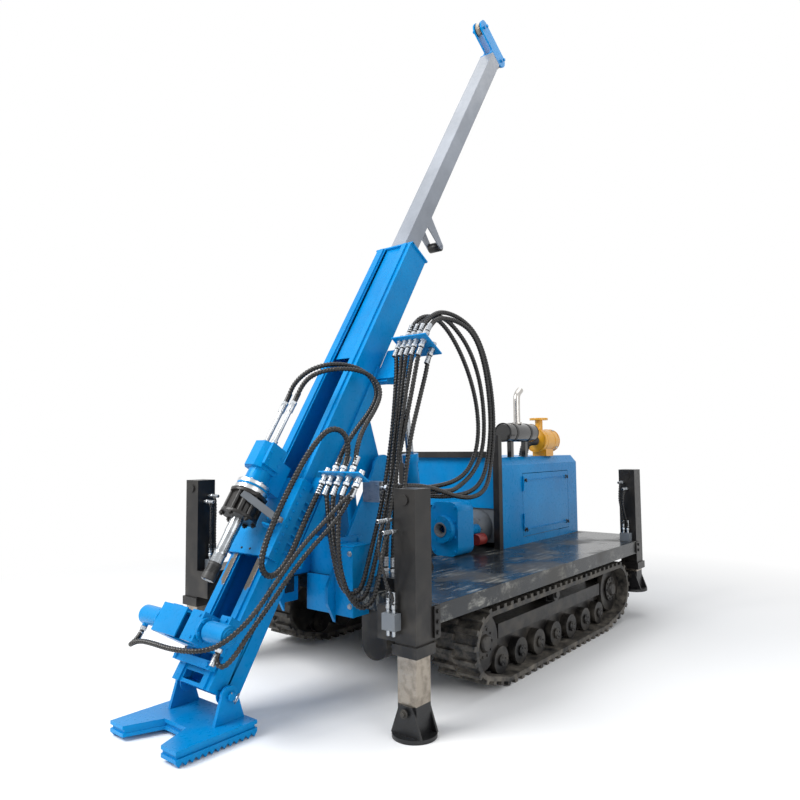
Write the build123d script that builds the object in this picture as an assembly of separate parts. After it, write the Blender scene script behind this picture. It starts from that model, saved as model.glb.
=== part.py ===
from build123d import *
import os
from math import atan2, cos, degrees, hypot, pi, radians, sin, tan

# Core drilling rig on rubber tracks, standing on its tracks, front legs and mast foot.
# X forward towards the mast, Y to the machine's left, Z up, millimetres.
# The origin is on the ground under the middle of the whole machine.

# Overall layout
leg_front_x = 1320.0
leg_rear_x = -2042.0
leg_side_y = 1023.0
deck_top_z = 705.0
deck_rear_over = 338.0
fit_gap = 0.3
cut_over = 20.0

# Stabiliser legs
sleeve_side = 150.0
sleeve_wall = 9.0
sleeve_top_z = 1368.0
sleeve_low_z = 444.0
sleeve_cap = 10.0
collar_side = 176.0
collar_height = 62.0
ram_side = 131.4
ram_wall = 8.0
ram_length = 1080.0
foot_radius = 128.0
foot_thickness = 22.0
foot_dish = 70.0
foot_ear_height = 160.0
foot_ear_thickness = 14.0
foot_ear_top = 92.0
foot_pin_radius = 17.0
rear_foot_z = 240.0
leg_bracket_height = 190.0
leg_bracket_reach = 130.0
leg_boss_radius = 30.0
leg_boss_length = 10.0
leg_boss_drop = 62.0

# Deck
deck_front_x = 1170.0
deck_side_y = 1098.0
deck_channel_height = 112.0
deck_channel_flange = 55.0
deck_wall = 8.0
deck_notch_gap = 12.0
deck_notch_y = 930.0
deck_cross_width = 80.0
deck_cross_share = (0.0, 0.25, 0.5, 0.75, 1.0)
mast_notch_depth = 220.0
mast_notch_half = 225.0

# Undercarriage
track_outer_y = 1048.0
track_width = 350.0
lug_height = 25.0
lug_length = 34.0
lug_pitch = 92.0
belt_thickness = 30.0
wheel_radius = 190.0
wheel_z = 305.0
idler_x = 495.0
sprocket_x = -1645.0
roller_first_x = 284.0
roller_last_x = -1359.0
roller_count = 7
roller_radius = 92.0
roller_disc = 62.0
roller_hub_radius = 46.0
roller_cap_radius = 30.0
roller_cap_length = 14.0
roller_shaft_radius = 24.0
carrier_x = -560.0
carrier_radius = 52.0
web_width = 70.0
beam_width = 150.0
beam_top_z = 385.0
beam_low_z = 285.0
beam_end_gap = 20.0
web_low_z = 105.0
wheel_disc = 44.0
wheel_hub_radius = 70.0
cross_beam_height = 130.0
cross_beam_width = 160.0
cross_beam_wall = 10.0
cross_beam_xs_share = (0.2, 0.8)
pedestal_width = 120.0

# Mast, upright in its own frame: X to its front, Z up along it, then leaned back
mast_lean = 32.2
mast_foot_x = 2115.0
mast_foot_z = 220.0
mast_width = 358.0
mast_depth = 221.0
mast_length = 3544.0
mast_wall = 10.0
mast_slot_half = 88.0
mast_low = 60.0
mast_cap = 16.0
mast_cap_over = 12.0
rail_height = 14.0
rail_width = 46.0

# Boom above the mast
boom_side = 150.0
boom_wall = 6.0
boom_low = 2600.0
boom_top = 6290.0
boom_front = -30.0
crown_thick = 16.0
crown_mid = 6420.0
crown_tall = 130.0
crown_back = -270.0
crown_front = 240.0
sheave_back = -205.0
sheave_front = 172.0
sheave_radius = 62.0
sheave_width = 40.0
sheave_groove = 12.0
sheave_pin_radius = 16.0
crown_pin_over = 10.0

# Rotation head
spindle_front = 205.0
spindle_low = 597.0
spindle_radius = 38.0
spindle_bore = 28.0
chuck_radius = 92.0
chuck_low = 1000.0
chuck_top = 1165.0
chuck_flange = 22.0
chuck_flange_radius = 118.0
chuck_rods = 4
chuck_rod_radius = 19.0
ring_radius = 104.0
ring_height = 30.0
gear_low = 1200.0
gear_top = 1500.0
gear_half = 80.0
gear_body_low = 1325.0
gear_back = 150.0
gear_front = 312.0
gear_corner = 36.0
gear_neck_radius = 76.0
gear_neck_low = 1235.0
gear_stem_half = 55.0
gear_stem_top = 1450.0
gear_side_thick = 24.0
gear_side_front = 285.0
gear_side_low = 1350.0
gear_lid = 30.0
port_ys = (-5.0, -90.0)
port_top = 1850.0
port_radius = 15.0
port_collar = 60.0
port_collar_radius = 21.0
carriage_low = 846.0
carriage_top = 1385.0
carriage_thick = 22.0
carriage_gap = 16.0
carriage_side = 70.0

# Rod clamp at the mast foot
clamp_low = 245.0
clamp_top = 415.0
clamp_wall = 12.0
clamp_half = 195.0
clamp_front = 262.0
clamp_cyl_radius = 46.0
clamp_cyl_length = 215.0
clamp_cyl_z = 330.0
clamp_cyl_x = 205.0
clamp_flange_radius = 70.0
clamp_flange_thick = 18.0
clamp_frame_half = 285.0
clamp_frame_low = 335.0
clamp_frame_top = 440.0
clamp_frame_front = 150.0
clamp_bar_low = 158.0
clamp_bar_top = 203.0
clamp_bar_front = 62.0
clamp_port_y = 370.0
clamp_port_s = 262.0
jaw_length = 105.0
jaw_side = 56.0
jaw_travel = 45.0
jaw_opening = 60.0

# Mast foot plate
shoe_front_x = 2375.0
shoe_rear_x = 1860.0
shoe_half = 325.0
shoe_top_z = 85.0
shoe_inset = (0.0, 10.0, 0.0)
shoe_notch_depth = 205.0
shoe_notch_mouth = 190.0
shoe_notch_floor = 105.0
shoe_tooth = 24.0
shoe_teeth = 13
shoe_ear_x = 1974.0
shoe_ear_z = 224.0
shoe_ear_y = 205.0
shoe_ear_thick = 22.0
shoe_ear_radius = 55.0
shoe_pin_radius = 18.0
shoe_ear_base = 200.0

# Saddle that carries the mast, and the tower that carries the saddle
pivot_s = 1806.0
pivot_t = -560.0
saddle_low = 900.0
saddle_top = 2450.0
saddle_thick = 40.0
saddle_guide = 20.0
saddle_ear_thick = 24.0
saddle_ear_y = 150.0
saddle_ear_half = 330.0
saddle_ear_radius = 95.0
pivot_pin_radius = 32.0
tower_plate = 25.0
tower_y = 235.0
tower_front_x = 1240.0
tower_front_z = 600.0
tower_low_z = 470.0
tower_back_x = 480.0
tower_head_radius = 100.0
tower_tie = 260.0

# Luffing cylinders
luff_y = 330.0
luff_base_x = 350.0
luff_base_z = 800.0
luff_head_s = 2430.0
luff_head_t = -330.0
barrel_radius = 52.0
barrel_length = 760.0
barrel_gland = 60.0
rod_radius = 28.0
rod_sunk = 120.0
eye_radius = 48.0
eye_width = 62.0
eye_pin_radius = 22.0

# Engine hood and what stands on the deck
hood_front_x = -826.0
hood_rear_x = -2340.0
hood_left_y = 347.0
hood_right_y = -780.0
hood_side_z = 1430.0
hood_top_z = 1500.0
hood_bevel = 60.0
hood_wall = 4.0
hood_panel_low_z = 1050.0
door_low = 70.0
door_high = 640.0
door_front_share = 0.24
door_left_rear_share = 0.86
door_right_rear_share = 0.68
door_gap = 5.0
hinge_radius = 9.0
hinge_length = 45.0
hinge_share = (0.2, 0.8)
latch_size = 28.0
latch_proud = 7.0
post_side = 60.0
post_top_z = 1700.0
post_bar_z = 1555.0
post_bar = 55.0
engine_size = (1050.0, 560.0, 560.0)
engine_z = 40.0
bell_radius = 165.0
bell_length = 150.0
bell_z = 876.0
bell_y = 60.0
pump_size = (230.0, 270.0, 440.0)
pump_x = -330.0
pump_y = 150.0
pump_bore = 55.0
muffler_radius = 85.0
muffler_length = 520.0
muffler_x = -1190.0
muffler_y = 300.0
muffler_z = 1725.0
pipe_radius = 22.0
pipe_wall = 3.0
pipe_rise = 190.0
cleaner_radius = 112.0
cleaner_length = 300.0
cleaner_x = -1800.0
cleaner_y = 245.0
cleaner_z = 1652.0
cleaner_cap_radius = 90.0
console_size = (300.0, 500.0, 260.0)
console_x = 620.0
console_y = -760.0
console_top_z = 1500.0
console_post = 90.0

# Hose brackets on the mast: a plate across the hoses on an arm off the mast's left side
upper_bracket_s = 2600.0
upper_plate_y = (335.0, 640.0)
upper_plate_t = (-300.0, -70.0)
upper_arm_t = -215.0
lower_bracket_s = 1440.0
lower_plate_y = (300.0, 650.0)
lower_plate_t = (-90.0, 20.0)
lower_arm_t = -80.0
bracket_plate = 10.0
bracket_arm_height = 100.0
bulkhead_radius = 18.0
bulkhead_length = 90.0
upper_bulkheads = ((385.0, -120.0), (435.0, -120.0), (485.0, -120.0), (535.0, -120.0), (590.0, -130.0),
                   (600.0, -230.0))
lower_bulkheads = ((335.0, -20.0), (385.0, -30.0), (455.0, -30.0), (535.0, -30.0), (610.0, -40.0))

# Valve block on the tower's left cheek
valve_x = (800.0, 900.0)
valve_outer_y = 412.0
valve_z = (1230.0, 1370.0)
valve_port_y = 385.0
valve_port_zs = (1270.0, 1330.0)
valve_port_length = 50.0

# Hoses: the route of each between its two fittings
hose_lead = 60.0
hose_round_share = 0.45
loop_hose_radius = 13.0
deck_hose_radius = 14.0
head_hose_radius = 14.0
side_hose_radius = 15.0
clamp_hose_radius = 12.0
hose_rows = (
    ("hose_loop_1", loop_hose_radius, ("upper", 0, -1), ("lower", 1, -1), (
        (695, 405, 2205), (745, 430, 1965), (795, 440, 1695), (855, 440, 1420), (925, 435, 1155),
        (1040, 455, 927), (1120, 480, 800), (1180, 500, 725), (1240, 505, 692), (1300, 485, 705),
        (1340, 468, 770), (1362, 450, 870), (1385, 425, 1065), (1380, 400, 1240))),
    ("hose_loop_2", loop_hose_radius, ("upper", 2, -1), ("lower", 2, -1), (
        (705, 490, 2205), (755, 495, 1985), (805, 495, 1695), (870, 495, 1415), (950, 495, 1145),
        (1075, 530, 897), (1160, 555, 765), (1212, 567, 695), (1267, 562, 665), (1318, 545, 680),
        (1360, 525, 750), (1390, 500, 885), (1415, 475, 1090), (1395, 460, 1260))),
    ("hose_loop_3", loop_hose_radius, ("upper", 4, -1), ("lower", 3, -1), (
        (690, 585, 2200), (750, 570, 1940), (815, 550, 1670), (890, 545, 1415), (970, 555, 1155),
        (1100, 600, 890), (1190, 635, 735), (1235, 635, 660), (1285, 615, 632), (1330, 595, 650),
        (1372, 575, 712), (1405, 555, 805), (1430, 545, 935), (1435, 540, 1110), (1405, 535, 1260))),
    ("hose_deck_1", deck_hose_radius, ("upper", 4, 1), ("valve", 0, 1), (
        (510, 575, 2475), (440, 565, 2525), (325, 540, 2555), (190, 530, 2565), (60, 535, 2550),
        (-30, 560, 2500), (-105, 580, 2400), (-175, 590, 2235), (-240, 585, 2010), (-275, 575, 1780),
        (-270, 560, 1585), (-230, 555, 1440), (-165, 555, 1340), (-70, 550, 1275), (70, 540, 1240),
        (270, 520, 1235), (450, 500, 1250), (600, 455, 1265))),
    ("hose_deck_2", deck_hose_radius, ("upper", 1, 1), ("valve", 1, 1), (
        (540, 445, 2490), (485, 460, 2545), (395, 480, 2570), (295, 495, 2545), (170, 505, 2460),
        (40, 515, 2315), (-75, 520, 2135), (-155, 520, 1945), (-190, 515, 1760), (-180, 505, 1605),
        (-130, 495, 1490), (-55, 485, 1405), (60, 470, 1345), (230, 455, 1315), (450, 445, 1305),
        (600, 440, 1315))),
    ("hose_head_1", head_hose_radius, ("port", 0, 1), ("lower", 3, 1), (
        (1262, 45, 2030), (1255, 120, 2085), (1190, 205, 2125), (1065, 310, 2135), (955, 365, 2105),
        (900, 400, 2045), (905, 435, 1970), (985, 465, 1870), (1165, 495, 1710), (1245, 520, 1580))),
    ("hose_head_2", head_hose_radius, ("port", 1, 1), ("lower", 1, 1), (
        (1262, -50, 2030), (1258, 30, 2090), (1235, 115, 2135), (1170, 195, 2165), (1055, 250, 2168),
        (950, 295, 2140), (890, 340, 2080), (880, 375, 2005), (920, 405, 1925), (1020, 425, 1830),
        (1150, 425, 1715), (1235, 405, 1600))),
    ("hose_side", side_hose_radius, ("lower", 2, 1), ("lower", 0, -1), (
        (1262, 468, 1595), (1280, 472, 1665), (1320, 460, 1712), (1375, 437, 1722), (1430, 410, 1690),
        (1530, 365, 1550), (1660, 350, 1350), (1785, 345, 1140), (1840, 340, 1010), (1848, 335, 930),
        (1810, 330, 872), (1745, 325, 860), (1680, 325, 895), (1605, 330, 985), (1510, 335, 1160))),
    ("hose_clamp", clamp_hose_radius, ("lower", 4, -1), ("clamp", 0, 1), (
        (1450, 590, 1280), (1570, 570, 1175), (1705, 550, 1070), (1820, 535, 955), (1930, 520, 835),
        (2035, 510, 725), (2120, 480, 645), (2185, 415, 580), (2225, 325, 545), (2260, 215, 535),
        (2275, 90, 530), (2275, -40, 530), (2270, -150, 525), (2270, -225, 515), (2275, -280, 495),
        (2260, -330, 475), (2225, -360, 475))),
)

# Guide roller behind the boom
guide_s = 3957.0
guide_t = -417.0
guide_root_s = 4015.0
guide_radius = 42.0
guide_width = 110.0
guide_arm_thick = 10.0
guide_arm_half = 28.0
guide_pin_radius = 12.0

# Tank under the deck's front
tank_front_x = 1010.0
tank_rear_x = 790.0
tank_inner_y = 345.0
tank_outer_y = 560.0
tank_round = 105.0
tank_low_z = 225.0

deck_rear_x = leg_rear_x - deck_rear_over
deck_notch_x = leg_rear_x + sleeve_side / 2 + deck_notch_gap

mast_place = Location((mast_foot_x, 0, mast_foot_z), (0, -mast_lean, 0))


def leaned(s, t):
    """Point in the machine's XZ plane of a mast point at height s and front offset t."""
    lean = radians(mast_lean)
    x = mast_foot_x - s * sin(lean) + t * cos(lean)
    z = mast_foot_z + s * cos(lean) + t * sin(lean)
    return x, z


pivot_x, pivot_z = leaned(pivot_s, pivot_t)


def block(x0, x1, y0, y1, z0, z1):
    """Box between two corners."""
    return Pos((x0 + x1) / 2, (y0 + y1) / 2, (z0 + z1) / 2) * Box(x1 - x0, y1 - y0, z1 - z0)


def rod_x(x0, x1, y, z, r):
    return Pos((x0 + x1) / 2, y, z) * Rot(0, 90, 0) * Cylinder(r, x1 - x0)


def rod_y(x, y0, y1, z, r):
    return Pos(x, (y0 + y1) / 2, z) * Rot(90, 0, 0) * Cylinder(r, y1 - y0)


def rod_z(x, y, z0, z1, r):
    return Pos(x, y, (z0 + z1) / 2) * Cylinder(r, z1 - z0)


def plate_y(points, y0, y1):
    """Plate with an outline in XZ between two Y faces."""
    face = make_face(Plane.XZ * Polyline(*points, close=True))
    return Pos(0, y1, 0) * extrude(face, y1 - y0, dir=(0, -1, 0))


def plate_z(points, z0, z1):
    """Plate with an outline in XY between two Z faces."""
    face = make_face(Polyline(*points, close=True))
    return Pos(0, 0, z0) * extrude(face, z1 - z0)


def both_sides(piece):
    return [piece, piece.mirror(Plane.XZ)]


def save(name, *pieces):
    solids = [solid for piece in pieces for solid in piece.solids()]
    export_step(Compound(solids), f"parts/{name}.step")


def track_outline(grow):
    """Hull round idler, sprocket and the bottom rollers, grown outwards."""
    roller_z = lug_height + belt_thickness + roller_radius
    circles = [
        Pos(idler_x, wheel_z) * Circle(wheel_radius + grow),
        Pos(sprocket_x, wheel_z) * Circle(wheel_radius + grow),
        Pos(roller_first_x, roller_z) * Circle(roller_radius + grow),
        Pos(roller_last_x, roller_z) * Circle(roller_radius + grow),
    ]
    return make_hull([circle.edge() for circle in circles])


def track_belt():
    """Rubber belt with two rows of lugs, half a pitch apart."""
    outer = track_outline(belt_thickness)
    inner = track_outline(fit_gap)
    path = outer.face().outer_wire()
    count = int(path.length / lug_pitch)
    halves = []
    for row in range(2):
        lugs = []
        for index in range(count):
            share = (index + row / 2) / count
            spot = path @ share
            way = path % share
            angle = degrees(atan2(way.Y, way.X))
            lugs.append(Pos(spot.X, spot.Y) * Rot(0, 0, angle) * Rectangle(lug_length, 2 * lug_height))
        face = (outer + lugs) - inner
        halves.append(extrude(Plane.XZ * face, track_width / 2, dir=(0, -1, 0)))
    first = Pos(0, track_outer_y, 0) * halves[0]
    second = Pos(0, track_outer_y - track_width / 2, 0) * halves[1]
    return first + second


track_mid_y = track_outer_y - track_width / 2
roller_z = lug_height + belt_thickness + roller_radius


def double_roller(x, z, radius, disc):
    """Two discs on one shaft through the frame's web, with end caps."""
    near = web_width / 2 + fit_gap
    piece = rod_y(x, track_mid_y - near - disc, track_mid_y + near + disc, z, roller_shaft_radius - fit_gap)
    for side in (1, -1):
        inner = track_mid_y + side * near
        outer = inner + side * disc
        piece += rod_y(x, min(inner, outer), max(inner, outer), z, radius - fit_gap)
        end = outer + side * roller_cap_length
        piece += rod_y(x, min(outer, end), max(outer, end), z, roller_cap_radius)
    return piece


def roller_xs():
    step = (roller_last_x - roller_first_x) / (roller_count - 1)
    return [roller_first_x + step * index for index in range(roller_count)]


def rollers():
    pieces = [double_roller(x, roller_z, roller_radius, roller_disc) for x in roller_xs()]
    carrier_z = wheel_z + wheel_radius - carrier_radius
    pieces.append(double_roller(carrier_x, carrier_z, carrier_radius, roller_disc))
    pieces.append(double_roller(idler_x, wheel_z, wheel_radius, wheel_disc))
    pieces.append(double_roller(sprocket_x, wheel_z, wheel_radius, wheel_disc))
    return pieces


def track_frame_side():
    """Side beam with a web that carries every roller shaft."""
    beam = block(sprocket_x - wheel_hub_radius, idler_x + wheel_hub_radius, track_mid_y - web_width / 2,
                 track_mid_y + web_width / 2, wheel_z - wheel_hub_radius, beam_top_z)
    beam += block(roller_last_x - roller_hub_radius, roller_first_x + roller_hub_radius,
                  track_mid_y - web_width / 2, track_mid_y + web_width / 2, web_low_z, beam_top_z)
    wide_rear = sprocket_x + wheel_radius + beam_end_gap
    wide_front = idler_x - wheel_radius - beam_end_gap
    beam += block(wide_rear, wide_front, track_mid_y - beam_width / 2, track_mid_y + beam_width / 2,
                  beam_low_z, beam_top_z)
    beam += block(carrier_x - carrier_radius, carrier_x + carrier_radius, track_mid_y - web_width / 2,
                  track_mid_y + web_width / 2, beam_top_z, wheel_z + wheel_radius - carrier_radius)
    for x in roller_xs():
        beam -= rod_y(x, 0, deck_side_y, roller_z, roller_shaft_radius)
    beam -= rod_y(carrier_x, 0, deck_side_y, wheel_z + wheel_radius - carrier_radius, roller_shaft_radius)
    for x in (idler_x, sprocket_x):
        beam -= rod_y(x, 0, deck_side_y, wheel_z, roller_shaft_radius)
    return beam


def undercarriage():
    """Both side beams, joined by cross beams with pedestals up to the deck."""
    frame = None
    for side in both_sides(track_frame_side()):
        frame = side if frame is None else frame + side
    inner_y = track_mid_y - web_width / 2
    for share in cross_beam_xs_share:
        x = roller_first_x + share * (roller_last_x - roller_first_x)
        outer = block(x - cross_beam_width / 2, x + cross_beam_width / 2, -inner_y, inner_y,
                      beam_top_z - cross_beam_height, beam_top_z)
        inner = block(x - cross_beam_width / 2 + cross_beam_wall, x + cross_beam_width / 2 - cross_beam_wall,
                      -inner_y, inner_y, beam_top_z - cross_beam_height + cross_beam_wall,
                      beam_top_z - cross_beam_wall)
        frame += outer - inner
        pedestal_y = track_outer_y - track_width - pedestal_width
        for y in (pedestal_y, -pedestal_y):
            frame += block(x - cross_beam_width / 2, x + cross_beam_width / 2, y - pedestal_width / 2,
                           y + pedestal_width / 2, beam_top_z, deck_top_z - deck_channel_height)
    return frame


def deck():
    """Plate on side and cross channels, notched at the rear corners for the legs."""
    low_z = deck_top_z - deck_channel_height
    outline = [(deck_front_x, -deck_side_y), (deck_front_x, deck_side_y), (deck_notch_x, deck_side_y),
               (deck_notch_x, deck_notch_y), (deck_rear_x, deck_notch_y), (deck_rear_x, -deck_notch_y),
               (deck_notch_x, -deck_notch_y), (deck_notch_x, -deck_side_y)]
    body = plate_z(outline, deck_top_z - deck_wall, deck_top_z)
    for side in (1, -1):
        body += block(deck_notch_x, deck_front_x, min(side * deck_side_y, side * (deck_side_y - deck_wall)),
                      max(side * deck_side_y, side * (deck_side_y - deck_wall)), low_z, deck_top_z)
        y1 = side * (deck_side_y - deck_channel_flange)
        body += block(deck_notch_x, deck_front_x, min(side * deck_side_y, y1), max(side * deck_side_y, y1),
                      low_z, low_z + deck_wall)
        inner = side * (deck_notch_y - deck_cross_width)
        body += block(deck_rear_x, deck_front_x, min(side * deck_notch_y, inner),
                      max(side * deck_notch_y, inner), low_z, deck_top_z)
    rail_y = track_outer_y - track_width - pedestal_width
    for y in (rail_y, -rail_y):
        body += block(deck_rear_x, deck_front_x, y - deck_cross_width / 2, y + deck_cross_width / 2,
                      low_z, deck_top_z)
    for share in deck_cross_share:
        x = deck_rear_x + share * (deck_front_x - deck_rear_x - deck_cross_width)
        body += block(x, x + deck_cross_width, -deck_notch_y, deck_notch_y, low_z, deck_top_z)
    notch_x = deck_front_x - mast_notch_depth
    body += block(notch_x - deck_cross_width, notch_x, -deck_notch_y, deck_notch_y, low_z, deck_top_z)
    body -= block(notch_x, deck_front_x + cut_over, -mast_notch_half, mast_notch_half,
                  low_z - cut_over, deck_top_z + cut_over)
    return body


def leg_sleeve(x, y):
    """Square tube with a collar, a cap and a bolted plate towards the deck."""
    half = sleeve_side / 2
    tube = block(x - half, x + half, y - half, y + half, sleeve_low_z, sleeve_top_z)
    low = sleeve_low_z
    tube += block(x - collar_side / 2, x + collar_side / 2, y - collar_side / 2, y + collar_side / 2,
                  low, low + collar_height)
    bore = half - sleeve_wall
    tube -= block(x - bore, x + bore, y - bore, y + bore, low - cut_over, sleeve_top_z - sleeve_cap)
    return tube


def leg_sleeves():
    pieces = []
    for x in (leg_front_x, leg_rear_x):
        for y in (leg_side_y, -leg_side_y):
            sleeve = leg_sleeve(x, y)
            side = 1 if y > 0 else -1
            inner = y - side * sleeve_side / 2
            if x > 0:
                x0, x1 = deck_front_x, x + sleeve_side / 2
                reach = inner - side * leg_bracket_reach
                sleeve += block(x0, x1, min(inner, reach), max(inner, reach),
                                deck_top_z - leg_bracket_height, deck_top_z)
                sleeve += block(deck_front_x, x - sleeve_side / 2, min(inner, y + side * sleeve_side / 2),
                                max(inner, y + side * sleeve_side / 2),
                                deck_top_z - leg_bracket_height, deck_top_z)
            else:
                sleeve += block(x + sleeve_side / 2, deck_notch_x, min(inner, y + side * sleeve_side / 2),
                                max(inner, y + side * sleeve_side / 2),
                                deck_top_z - deck_channel_height, deck_top_z)
            boss = rod_x(x + sleeve_side / 2, x + sleeve_side / 2 + leg_boss_length, y,
                         sleeve_top_z - leg_boss_drop, leg_boss_radius)
            pieces.append(sleeve + boss)
    return pieces


def leg_ram(x, y, foot_z):
    """Inner square tube on a round foot pad with two rounded ears and a pin."""
    half = ram_side / 2
    top_z = foot_z + ram_length
    ear_z = foot_z + foot_thickness + foot_ear_height
    tube = block(x - half, x + half, y - half, y + half, foot_z + foot_dish, top_z)
    tube -= block(x - half + ram_wall, x + half - ram_wall, y - half + ram_wall, y + half - ram_wall,
                  foot_z + foot_ear_height, top_z + cut_over)
    pad = rod_z(x, y, foot_z, foot_z + foot_thickness, foot_radius)
    ears = None
    for side in (1, -1):
        y0 = y + side * half
        y1 = y0 + side * foot_ear_thickness
        outline = [(x - foot_radius + foot_thickness, foot_z + foot_thickness),
                   (x + foot_radius - foot_thickness, foot_z + foot_thickness),
                   (x + foot_ear_top / 2, ear_z), (x - foot_ear_top / 2, ear_z)]
        ear = plate_y(outline, min(y0, y1), max(y0, y1))
        ears = ear if ears is None else ears + ear
    ears += rod_y(x, y - half - 2 * foot_ear_thickness, y + half + 2 * foot_ear_thickness,
                  foot_z + foot_ear_height - foot_pin_radius, foot_pin_radius)
    ears = ears.rotate(Axis((x, y, 0), (0, 0, 1)), 90)
    core = block(x - half, x + half, y - half, y + half, foot_z + foot_thickness, foot_z + foot_dish)
    return tube + pad + ears + core


def mast_frame():
    """Channel open to the front with two flanges, and a top plate."""
    half = mast_width / 2
    body = block(-mast_depth, 0, -half, half, mast_low, mast_length)
    body -= block(-mast_depth + mast_wall, -mast_wall, -half + mast_wall, half - mast_wall,
                  mast_low - cut_over, mast_length + cut_over)
    body -= block(-mast_depth + mast_wall, cut_over, -mast_slot_half, mast_slot_half,
                  mast_low - cut_over, mast_length + cut_over)
    cap = block(-mast_depth - mast_cap_over, 0, -half - mast_cap_over, half + mast_cap_over,
                mast_length, mast_length + mast_cap)
    grip = boom_side / 2 + fit_gap
    cap -= block(boom_front - boom_side - fit_gap, cut_over, -grip, grip, mast_length - cut_over,
                 mast_length + mast_cap + cut_over)
    body += cap
    for side in (1, -1):
        y0 = side * (mast_slot_half + mast_wall)
        y1 = y0 + side * rail_width
        body += block(0, rail_height, min(y0, y1), max(y0, y1), mast_low, mast_length)
    for side in (1, -1):
        y0 = side * (half - mast_wall)
        y1 = side * half
        ear = rod_y(pin_t, min(y0, y1), max(y0, y1), pin_s, shoe_ear_radius)
        ear += block(-mast_depth, 0, min(y0, y1), max(y0, y1), pin_s, mast_low + cut_over)
        body += ear
        body -= rod_y(pin_t, min(y0, y1) - cut_over, max(y0, y1) + cut_over, pin_s, shoe_pin_radius + fit_gap)
    return body


def upright(x, z):
    """Mast coordinates (s, t) of a machine point in the XZ plane."""
    lean = radians(mast_lean)
    dx = x - mast_foot_x
    dz = z - mast_foot_z
    return -dx * sin(lean) + dz * cos(lean), dx * cos(lean) + dz * sin(lean)


pin_s, pin_t = upright(shoe_ear_x, shoe_ear_z)


def boom():
    x0 = boom_front - boom_side
    half = boom_side / 2
    tube = block(x0, boom_front, -half, half, boom_low, boom_top)
    tube -= block(x0 + boom_wall, boom_front - boom_wall, -half + boom_wall, half - boom_wall,
                  boom_low - cut_over, boom_top + cut_over)
    return tube


def crown():
    """Two rounded cheek plates across the top of the boom, with a sheave at each end."""
    half = sheave_width / 2 + fit_gap
    cheeks = None
    length = crown_front - crown_back
    middle = (crown_front + crown_back) / 2
    for side in (1, -1):
        y0 = side * (half + sheave_groove)
        y1 = y0 + side * crown_thick
        cheek = Pos(middle, (y0 + y1) / 2, crown_mid) * Rot(90, 0, 0) * extrude(
            SlotOverall(length, crown_tall), crown_thick / 2, both=True)
        cheeks = cheek if cheeks is None else cheeks + cheek
    cheeks += block(boom_front - boom_side, boom_front, -boom_side / 2, boom_side / 2,
                    boom_top, boom_top + crown_thick)
    for side in (1, -1):
        y0 = side * (half + sheave_groove)
        y1 = y0 + side * crown_thick
        cheeks += block(boom_front - boom_side, boom_front, min(y0, y1), max(y0, y1), boom_top, crown_mid)
    reach = half + sheave_groove + crown_thick + crown_pin_over
    for t in (sheave_back, sheave_front):
        cheeks += rod_y(t, -reach, reach, crown_mid, sheave_pin_radius)
    return cheeks


def sheave(t):
    """Grooved wheel that turns on a pin between the cheeks."""
    half = sheave_width / 2
    profile = [(sheave_pin_radius + fit_gap, -half), (sheave_radius, -half),
               (sheave_radius - sheave_groove, 0), (sheave_radius, half), (sheave_pin_radius + fit_gap, half)]
    face = make_face(Polyline(*profile, close=True))
    wheel = revolve(face, Axis.Y)
    return Pos(t, 0, crown_mid) * wheel


def carriage():
    """Plate on the mast's rails with side flanges, and the gearbox on it."""
    half = mast_width / 2
    x0 = rail_height + fit_gap
    x1 = x0 + carriage_thick
    plate = block(x0, x1, -half - carriage_gap - carriage_thick, half + carriage_gap + carriage_thick,
                  carriage_low, carriage_top)
    for side in (1, -1):
        y0 = side * (half + carriage_gap)
        y1 = y0 + side * carriage_thick
        plate += block(x0 - carriage_side, x0, min(y0, y1), max(y0, y1), carriage_low, carriage_top)
    return plate


def gearbox():
    """Gearbox in front of the carriage: cornered body, side cover, neck, flange and stem."""
    x0 = rail_height + fit_gap + carriage_thick
    body = block(gear_back, gear_front, -gear_half, gear_half, gear_body_low, gear_top)
    body = chamfer(body.edges().filter_by(Axis.Z).group_by(Axis.X)[-1], gear_corner)
    body += block(gear_back, gear_side_front, gear_half, gear_half + gear_side_thick, gear_side_low, gear_top)
    body += block(x0, gear_back, -gear_stem_half, gear_stem_half, gear_neck_low, gear_stem_top)
    body += block(gear_back, spindle_front, -gear_stem_half, gear_stem_half, gear_neck_low, gear_body_low)
    body += rod_z(spindle_front, 0, gear_neck_low, gear_body_low, gear_neck_radius)
    body += rod_z(spindle_front, 0, gear_low, gear_neck_low, ring_radius)
    body += rod_z(spindle_front, 0, gear_low - ring_height, gear_low, ring_radius - carriage_thick / 2)
    body -= rod_z(spindle_front, 0, gear_low - ring_height - cut_over, gear_top - gear_lid,
                  spindle_radius + fit_gap)
    return body


def chuck():
    body = rod_z(spindle_front, 0, chuck_low, gear_low - ring_height, chuck_radius)
    body += rod_z(spindle_front, 0, chuck_low, chuck_low + chuck_flange, chuck_flange_radius)
    body += rod_z(spindle_front, 0, chuck_top - chuck_flange, chuck_top, chuck_flange_radius)
    for index in range(chuck_rods):
        angle = 2 * pi * (index + 1 / 2) / chuck_rods
        body += rod_z(spindle_front + chuck_radius * cos(angle), chuck_radius * sin(angle),
                      chuck_low, chuck_top, chuck_rod_radius)
    body -= rod_z(spindle_front, 0, chuck_low - cut_over, gear_low, spindle_radius + fit_gap)
    return body


def spindle():
    top = gear_top - gear_lid - fit_gap
    tube = rod_z(spindle_front, 0, spindle_low, top, spindle_radius)
    tube -= rod_z(spindle_front, 0, spindle_low - cut_over, top + cut_over, spindle_bore)
    return tube


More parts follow.
